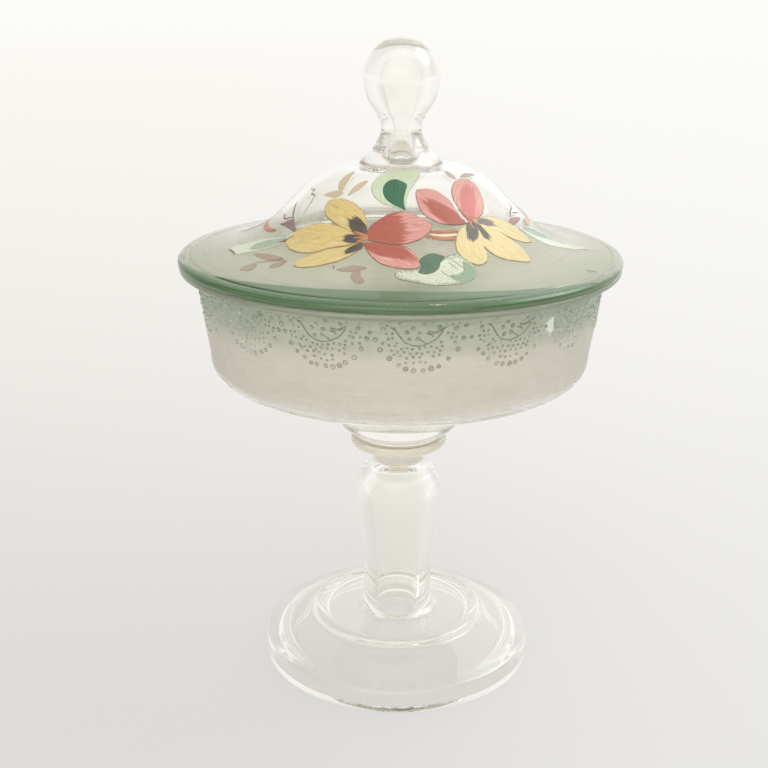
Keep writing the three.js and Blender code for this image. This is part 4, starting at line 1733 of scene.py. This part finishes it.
class LaceBand:
    """Raised beads in hanging swags round the bowl, laid by hand: no two swags are quite alike.

    Each swag has a lower edge of large beads, rows of small ones above it, and a flower, vines and columns of
    beads under the lip.  A _stray is the mean error of the hand, and _gaps are the share of beads left out.

    Attributes:
        swags: Number of swags round the bowl.
        first: Turn of one swag's middle from the front, in degrees.
        swag_stray: How far a swag strays from its even turn, in degrees.
        bottom_z: Height of the lowest beads.
        edge_reach: Half width of the lower edge, in mm.
        edge_rise: How far the lower edge climbs to its ends, in mm.
        edge_power: How late it climbs.
        row_bend: How fast the rows above it climb, in mm to a square mm.
        row_shift: How far a row may start too early or too late, in mm.
        vine_beads: Beads of a vine for each point of its line.
    """

    swags = 15
    first = 4.3
    swag_stray = 0.35
    bottom_z = 153.1
    middle_z = 9.0
    edge_reach = 13.6
    edge_rise = 7.6
    edge_power = 2.2
    row_bend = 0.012
    row_shift = 0.5
    row_gaps = 0.06
    side_gaps = 0.1
    laid_stray = 0.25
    bead_stray = 0.16
    vine_stray = 0.15
    vine_beads = 5
    seed = 11

    def beads(self, chance: np.random.Generator) -> np.ndarray:
        """Lists one swag's beads; its lower edge climbs with a power of the distance from its middle.

        Args:
            chance: Source of the chances.

        Returns:
            Across, up and radius of each bead, in mm.
        """
        side = 1 if chance.random() < 0.5 else -1
        count = int(chance.integers(10, 12))
        u = np.linspace(-self.edge_reach, self.edge_reach, count) + chance.normal(0, self.laid_stray, count)
        edge = self.edge_rise * np.abs(u / self.edge_reach) ** self.edge_power
        rows = [np.stack([u, edge, LARGE * chance.uniform(0.8, 1.12, count)], 1)]
        for level, reach, spacing, size in BEAD_ROWS:
            u = np.arange(-reach, reach + 0.01, spacing) + chance.uniform(-self.row_shift, self.row_shift)
            v = level + self.row_bend * u**2 + chance.normal(0, self.laid_stray, len(u))
            kept = chance.random(len(u)) > self.row_gaps
            rows.append(np.stack([u, v, np.full(len(u), size)], 1)[kept])
        for turn in (-1, 1):
            beads = np.array([*SIDE_BEADS, *COLUMN_BEADS[:3 if turn > 0 else 1]], float) * (turn, 1, 1)
            rows.append(beads[chance.random(len(beads)) > self.side_gaps])
        for (x, y), radius, petals, size in FLOWERS:
            turn = np.linspace(0, 2 * math.pi, petals, endpoint=False) + FLOWER_TURN
            rows.append(np.stack([(x + radius * np.cos(turn)) * side, y + radius * np.sin(turn),
                                  np.full(petals, size)], 1))
        beads = np.concatenate(rows)
        beads[:, :2] += chance.normal(0, self.bead_stray, (len(beads), 2))
        beads[:, 2] *= chance.uniform(0.84, 1.14, len(beads))
        for points, width in zip(VINES, VINE_WIDTHS):
            path = even(smooth(np.array(points) * (side, 1), 30), self.vine_beads * len(points))
            path += chance.normal(0, self.vine_stray, 2)
            beads = np.concatenate([beads, np.concatenate([path, np.full((len(path), 1), width)], 1)])
        return beads

    def build(self, wall: np.ndarray, material: Material) -> Object:
        """Builds every bead as a low dome of glass on the wall: three rings of eight corners and a top.

        A vertex stands at its swag's turn plus its arc length over the wall's radius, and out from the wall
        by its height times the wall's normal.

        Args:
            wall: Outside of the bowl's wall.
            material: The beads' finish.

        Returns:
            One mesh.
        """
        chance = np.random.default_rng(self.seed)
        shape, faces = bead_shape()
        even_turns = self.first + 360 / self.swags * np.arange(self.swags)
        middles = np.radians(even_turns + chance.normal(0, self.swag_stray, self.swags))
        swags = [self.beads(chance) for _ in middles]
        u, v, size = np.concatenate(swags).T[:, :, None]
        middle = np.repeat(middles, [len(swag) for swag in swags])[:, None]
        radius = float(np.interp(self.bottom_z + self.middle_z, wall[:, 1], wall[:, 0]))
        z = self.bottom_z + v + shape[:, 1] * size
        angle = middle + (u + shape[:, 0] * size) / radius
        height = shape[:, 2] * BEAD_HEIGHT * size**0.5
        lean = np.interp(z, wall[:, 1], np.gradient(wall[:, 0], wall[:, 1]))
        out = np.interp(z, wall[:, 1], wall[:, 0]) + BEAD_LIFT + height / np.sqrt(1 + lean**2)
        z = z - height * lean / np.sqrt(1 + lean**2)
        vertices = np.stack([out * np.sin(angle), -out * np.cos(angle), z], 2).reshape(-1, 3)
        count = len(size)
        quads = (faces[None] + len(shape) * np.arange(count)[:, None, None]).reshape(-1, 4)
        measures = (np.hypot(shape[:, 0], shape[:, 1]), chance.random((count, 1)), size)
        brush = np.stack([np.broadcast_to(measure, z.shape) for measure in measures], 2).reshape(-1, 3)
        return write_mesh("lace_dots", vertices, quads, np.zeros(len(quads), int), [material], 80.0, brush)


def bead_shape() -> tuple[np.ndarray, np.ndarray]:
    """Draws a bead of radius and height 1: rings of corners by the cosine and the sine, under one top.

    Returns:
        Its corners and its faces, of four corner numbers each.
    """
    step = np.arange(BEAD_SIDES)
    after = (step + 1) % BEAD_SIDES
    turn = 2 * math.pi / BEAD_SIDES * step
    rings = [np.stack([r * np.cos(turn), r * np.sin(turn), np.full(BEAD_SIDES, h)], 1) for r, h in BEAD_RINGS]
    walls = [level * BEAD_SIDES + np.stack([step, after, after + BEAD_SIDES, step + BEAD_SIDES], 1)
             for level in range(len(BEAD_RINGS) - 1)]
    last = (len(BEAD_RINGS) - 1) * BEAD_SIDES
    top = np.full(BEAD_SIDES, last + BEAD_SIDES)
    fan = np.arange(BEAD_SIDES - 1, 1, -1)
    under = np.stack([np.zeros_like(fan), fan, fan - 1, fan - 1], 1)
    faces = [*walls, np.stack([last + step, last + after, top, top], 1), under]
    return np.concatenate([*rings, [[0, 0, 1.0]]]), np.concatenate(faces)


# The dish, the table and the light


@dataclass
class CandyDish:
    """The whole dish: glass, stain, enamel and lace."""

    foot: Foot = Foot()
    stem: Stem = Stem()
    button: NeckButton = NeckButton()
    wafer: Wafer = Wafer()
    bowl: Bowl = Bowl()
    lid: Lid = Lid()
    knob: Knob = Knob()
    lace: LaceBand = LaceBand()
    clear: GlassFinish = GlassFinish("clear_glass", srgb(254, 253, 250), 0.05)
    lid_clear: GlassFinish = GlassFinish("lid_clear_glass", srgb(254, 253, 250))
    warm: GlassFinish = GlassFinish("warm_glass", srgb(240, 232, 212))
    seam: GlassFinish = GlassFinish("joint_ring_glass", srgb(206, 178, 154))

    def add(self, piece: Object, body: Body, slot: Slot, node: str | None = None) -> None:
        """Joins a piece to its body, hides the imported node that it stands for, and reports it with its
        finish's slot.
        """
        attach(piece, body.value)
        if node:
            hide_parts(node)
        log.info("%s on %s, in %s", piece.name, body.value, slot.value)

    def build_glass(self) -> None:
        """Builds the seven pieces of glass."""
        clear, fused, warm = self.clear.material(), FusedFinish().material(), self.warm.material()
        # In the bowl's wash, side is painted shade at both sides, and lip is the lid's painted shadow on the
        # lip at the front.
        bowl_stain = BowlStain(
            self.lid_clear, green=srgb(182, 206, 173), sage=srgb(204, 211, 182), beige=srgb(255, 248, 230),
            cream=srgb(255, 252, 242), brown=srgb(190, 162, 132), side=srgb(150, 186, 164),
            lip=srgb(96, 116, 82), backlight=srgb(248, 245, 234)).material()
        # In the lid's wash, groove is the colour of the painted shade in the groove and along the fine rings
        # of the edge.
        lid_stain = LidStain(
            self.lid_clear, beige=srgb(230, 227, 204), sage=srgb(202, 211, 180), front=srgb(182, 190, 155),
            pale=srgb(252, 247, 236), scuff=srgb(168, 150, 128), band=srgb(68, 100, 62),
            band_light=srgb(106, 140, 94), groove=srgb(34, 58, 30),
            chip=(srgb(112, 88, 62), srgb(226, 220, 200)), backlight=srgb(240, 238, 226)).material()
        button = self.button.flat_radius
        self.add(self.foot.build(clear, fused, self.stem.base_radius), Body.STAND, Slot.CLEAR, "foot")
        self.add(self.stem.build(clear, fused, button), Body.STAND, Slot.CLEAR, "stem")
        self.add(self.button.build(warm, fused), Body.STAND, Slot.WARM, "neck_button")
        self.add(self.wafer.build(warm, fused, button), Body.STAND, Slot.WARM, "wafer")
        bowl = self.bowl.build(bowl_stain, clear, fused, self.wafer.flat_radius)
        self.add(bowl, Body.STAND, Slot.BOWL, "bowl")
        self.add(self.lid.build(lid_stain, self.lid_clear.material(), fused), Body.COVER, Slot.LID, "lid")
        seam = self.seam.material()
        self.add(self.knob.build(clear, fused, seam, self.lid.hole), Body.COVER, Slot.CLEAR, "lid_knob")

    def build_ornament(self) -> None:
        """Builds the enamel sprays on the lid and the lace on the bowl."""
        dome = Dome(self.lid.top_points())
        for petal in front_spray():
            self.add(lay(petal.name, petal.sheet(), dome, petal.finish.material()), Body.COVER, Slot.ENAMEL)
        leaves = [Petal("faint", outline, len(outline) // 2, FAINT, FAINT_HEIGHT) for outline in FAINT_LEAVES]
        sprigs = joined(leaf.sheet() for leaf in leaves)
        self.add(lay("faint_sprigs", sprigs, dome, FAINT.material()), Body.COVER, Slot.ENAMEL)
        for name, strokes, finish, level in (
                ("brown_lines", BROWN_LINES, BROWN, 0.2), ("orange_strokes", ORANGE_LINES, ORANGE, 0.3),
                ("cream_strokes", CREAM_LINES, CREAM, 0.22)):
            sheet = joined(stroke.sheet(level) for stroke in strokes)
            self.add(lay(name, sheet, dome, finish.material()), Body.COVER, Slot.ENAMEL)
        lace = DotFinish("lace_glass", srgb(142, 160, 132), srgb(170, 170, 150), srgb(212, 214, 196),
                         srgb(214, 228, 216)).material()
        self.add(self.lace.build(self.bowl.wall_points(), lace), Body.STAND, Slot.BOWL)


HORIZON: Color = (0.978, 0.973, 0.951, 1.0)


class Table:
    """A pale seamless table whose colour holds painted shade: darker near the dish and to the left, and
    growing lighter with distance, as a lit paper sweep does.

    Attributes:
        half_size: Half its width, in m.
        drop: How far it lies below the foot's rest ring, in m, so that the two don't share a face.
        glow: Share of its brightness that doesn't depend on the light, for the camera and through glass.
        far: Distances from the dish, in mm, between which it turns to the horizon's colour.
        shade_y: Middle of the painted shade, in mm, and the distance over which it fades.
        side_x: Distance to the side, in mm, at which half of the change to the right, in painted shade and
            tint, is reached.
    """

    half_size = 40.0
    drop = 0.0001
    glow = 0.8
    far = (1500.0, 9000.0)
    bright = 0.953
    shade = 0.19
    shade_side = 0.1
    shade_y = (-90.0, 300.0)
    side_x = 250.0
    green = (0.987, 0.006)
    blue = (0.955, 0.02)

    def build(self) -> None:
        """Builds the table; its painted shade fades with 1 over the root of 1 plus the distance squared."""
        s, z = self.half_size, -self.drop
        mesh = bpy.data.meshes.new("table")
        mesh.from_pydata([(-s, -s, z), (s, -s, z), (s, s, z), (-s, s, z)], [], [(0, 1, 2, 3)])
        shader = Shader.for_material("table_paper")
        x, y, _ = shader.position()
        middle, fade = self.shade_y
        away = (y - middle) / fade
        side = x / (x.size() + self.side_x)
        # Painted shade on the table: darker near the dish, towards the front and to the left, where a broad
        # soft shadow and the fall of the light would darken it.
        red = self.bright - (1.0 / (away * away + 1.0).root()) * (self.shade - self.shade_side * side)
        green, blue = (red * (share + change * side) for share, change in (self.green, self.blue))
        near = shader.node("ShaderNodeCombineColor", None, {0: red, 1: green, 2: blue})
        far = (x * x + y * y).root().rise(*self.far)
        color = shader.blend(far, Signal(shader, near.outputs[0]), HORIZON)
        paper = shader.principled({"Base Color": color, "Roughness": 0.6, "Specular IOR Level": 0.1})
        glow = shader.node("ShaderNodeEmission", None, {"Color": color, "Strength": 1.0}).outputs[0]
        seen = shader.ray("Camera").at_least(shader.ray("Transmission")).at_least(shader.ray("Glossy"))
        share = seen * (far * (1.0 - self.glow) + self.glow)
        mesh.materials.append(shader.surface(shader.mix(share, paper, glow)))
        table = linked("table", mesh)


@dataclass(frozen=True)
class Lobe:
    """A soft bright or dim part of the sky.

    Args:
        direction: Unit direction of its middle.
        spread: Cosines of the angles from its middle where it begins and where it is full.
        color: Its colour.
    """

    direction: tuple[float, float, float]
    spread: Span
    color: Color

    def over(self, sky: Signal | Color, shader: Shader, way: Sequence[Signal]) -> Signal:
        """Returns a sky with the lobe laid over it, by the cosine between a direction and its middle."""
        aside, away, up = (part * share for part, share in zip(way, self.direction))
        return shader.blend((aside + away + up).rise(*self.spread), sky, self.color)


@dataclass(frozen=True)
class Lamp:
    """A small oblong lamp that mirrors show, but neither the camera nor what is seen through glass.

    Args:
        name: Object name.
        place, target: Where it stands and the point that it faces, in m.
        size: Its width and height, in m.
        power: Its power, in W.
        color: Its colour.
        spread: Angle of its beam, in degrees.
    """

    name: str
    place: tuple[float, float, float]
    target: tuple[float, float, float]
    size: tuple[float, float]
    power: float
    color: tuple[float, float, float]
    spread: float

    def build(self) -> None:
        """Builds the lamp."""
        data = bpy.data.lights.new(self.name, "AREA")
        data.shape = "RECTANGLE"
        data.size, data.size_y = self.size
        data.energy, data.color, data.spread = self.power, self.color, math.radians(self.spread)
        light = linked(self.name, data)
        turn = (Vector(self.place) - Vector(self.target)).to_track_quat("Z", "Y")
        light.matrix_world = Matrix.Translation(self.place) @ turn.to_matrix().to_4x4()
        light.visible_camera = light.visible_transmission = False


class Studio:
    """Camera, sky of soft light, and the lamp whose image shows on the bowl's right shoulder.

    Attributes:
        sky: Colour of its plain part, which lights the object.
        backdrop: Colour of what lies behind, as mirrors show it.
        dim: Colour of what lies behind the camera, as mirrors show it.
        white: Colour of the backdrop as it shows through glass.
        room: Colour of the room at the sides, above and behind the camera, as it shows through glass.
        lobes: Brighter and dimmer parts of the sky.
        window: The window at the right, as the glass mirrors it.
        lamp: The lamp.
        camera: Place of the camera, in mm.
        pitch: Angle of its view below the horizon, in degrees.
        roll: Turn about its own line of sight, in degrees.
        lens, frame: Focal length and the width of the picture that it is meant for, in mm.
    """

    sky = (0.76, 0.755, 0.74, 1.0)
    backdrop = (0.95, 0.935, 0.91, 1.0)
    dim = (0.66, 0.65, 0.63, 1.0)
    dim_y = (-0.8, 0.2)
    white = (0.97, 0.96, 0.94, 1.0)
    room = (0.78, 0.77, 0.75, 1.0)
    room_y = (-0.3, 0.9)
    lobes = (
        Lobe((0.62, 0.45, 0.64), (0.45, 0.95), (1.62, 1.64, 1.62, 1.0)),
        Lobe((-0.3, -0.75, 0.59), (0.4, 1.0), (1.85, 1.83, 1.77, 1.0)),
        Lobe((-0.97, 0.0, 0.24), (0.42, 1.0), (0.15, 0.145, 0.135, 1.0)),
        Lobe((0.97, -0.2, -0.05), (0.42, 1.0), (0.10, 0.10, 0.097, 1.0)),
    )
    window = Lobe((0.73, 0.17, 0.66), (0.92, 0.99), (6.0, 6.2, 6.3, 1.0))
    lamp = Lamp("window_card", (0.2335, -0.048, 0.0823), (0.0528, -0.0617, 0.167), (0.03, 0.004),
                0.0005, (0.95, 0.985, 1.0), 70.0)
    camera = (-6.27, -489.4, 284.7)
    pitch = 18.42
    roll = 0.29
    lens = 57.68
    frame = 36.0
    clip = (0.01, 200.0)

    def build_camera(self) -> None:
        """Builds the camera."""
        data = bpy.data.cameras.new("camera")
        data.lens, data.sensor_width = self.lens, self.frame
        data.clip_start, data.clip_end = self.clip
        camera = linked("camera", data)
        pitch = Matrix.Rotation(math.radians(90 - self.pitch), 4, "X")
        roll = Matrix.Rotation(math.radians(self.roll), 4, "Z")
        camera.matrix_world = Matrix.Translation([v * MM for v in self.camera]) @ pitch @ roll
        bpy.context.scene.camera = camera

    def build_world(self) -> None:
        """Builds the sky: soft light, and for mirrors and glass the white backdrop behind the dish."""
        world = bpy.data.worlds.new("studio")
        world.use_nodes = True
        bpy.context.scene.world = world
        shader = Shader(world.node_tree)
        way = shader.parts(shader.node("ShaderNodeTexCoord").outputs["Generated"])
        diffuse: Signal | Color = self.sky
        mirrored = shader.blend(way[1].rise(*self.dim_y), self.dim, self.backdrop)
        for lobe in self.lobes:
            diffuse = lobe.over(diffuse, shader, way)
            mirrored = lobe.over(mirrored, shader, way)
        mirrored = self.window.over(mirrored, shader, way)
        behind = shader.blend(way[1].rise(*self.room_y), self.room, self.white)
        color = shader.blend(shader.ray("Glossy"), diffuse, mirrored)
        color = shader.blend(shader.ray("Transmission"), color, behind)
        color = shader.blend(shader.ray("Camera"), color, HORIZON)
        light = shader.node("ShaderNodeBackground", None, {"Color": color, "Strength": 1.0})
        shader.node("ShaderNodeOutputWorld", None, {"Surface": light.outputs[0]})


def main() -> None:
    """Builds the dish on its table and lights it."""
    logging.basicConfig(level=logging.INFO, format="%(name)s: %(message)s")
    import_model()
    scene = bpy.context.scene
    scene.view_settings.view_transform = "Standard"
    scene.cycles.max_bounces = GLASS_BOUNCES
    scene.cycles.diffuse_bounces = DIFFUSE_BOUNCES
    scene.cycles.glossy_bounces = GLASS_BOUNCES
    scene.cycles.transmission_bounces = GLASS_BOUNCES
    scene.cycles.transparent_max_bounces = GLASS_BOUNCES
    dish = CandyDish()
    dish.build_glass()
    dish.build_ornament()
    Table().build()
    studio = Studio()
    studio.build_camera()
    studio.build_world()
    studio.lamp.build()
    bpy.context.view_layer.update()


if __name__ == "__main__":
    main()
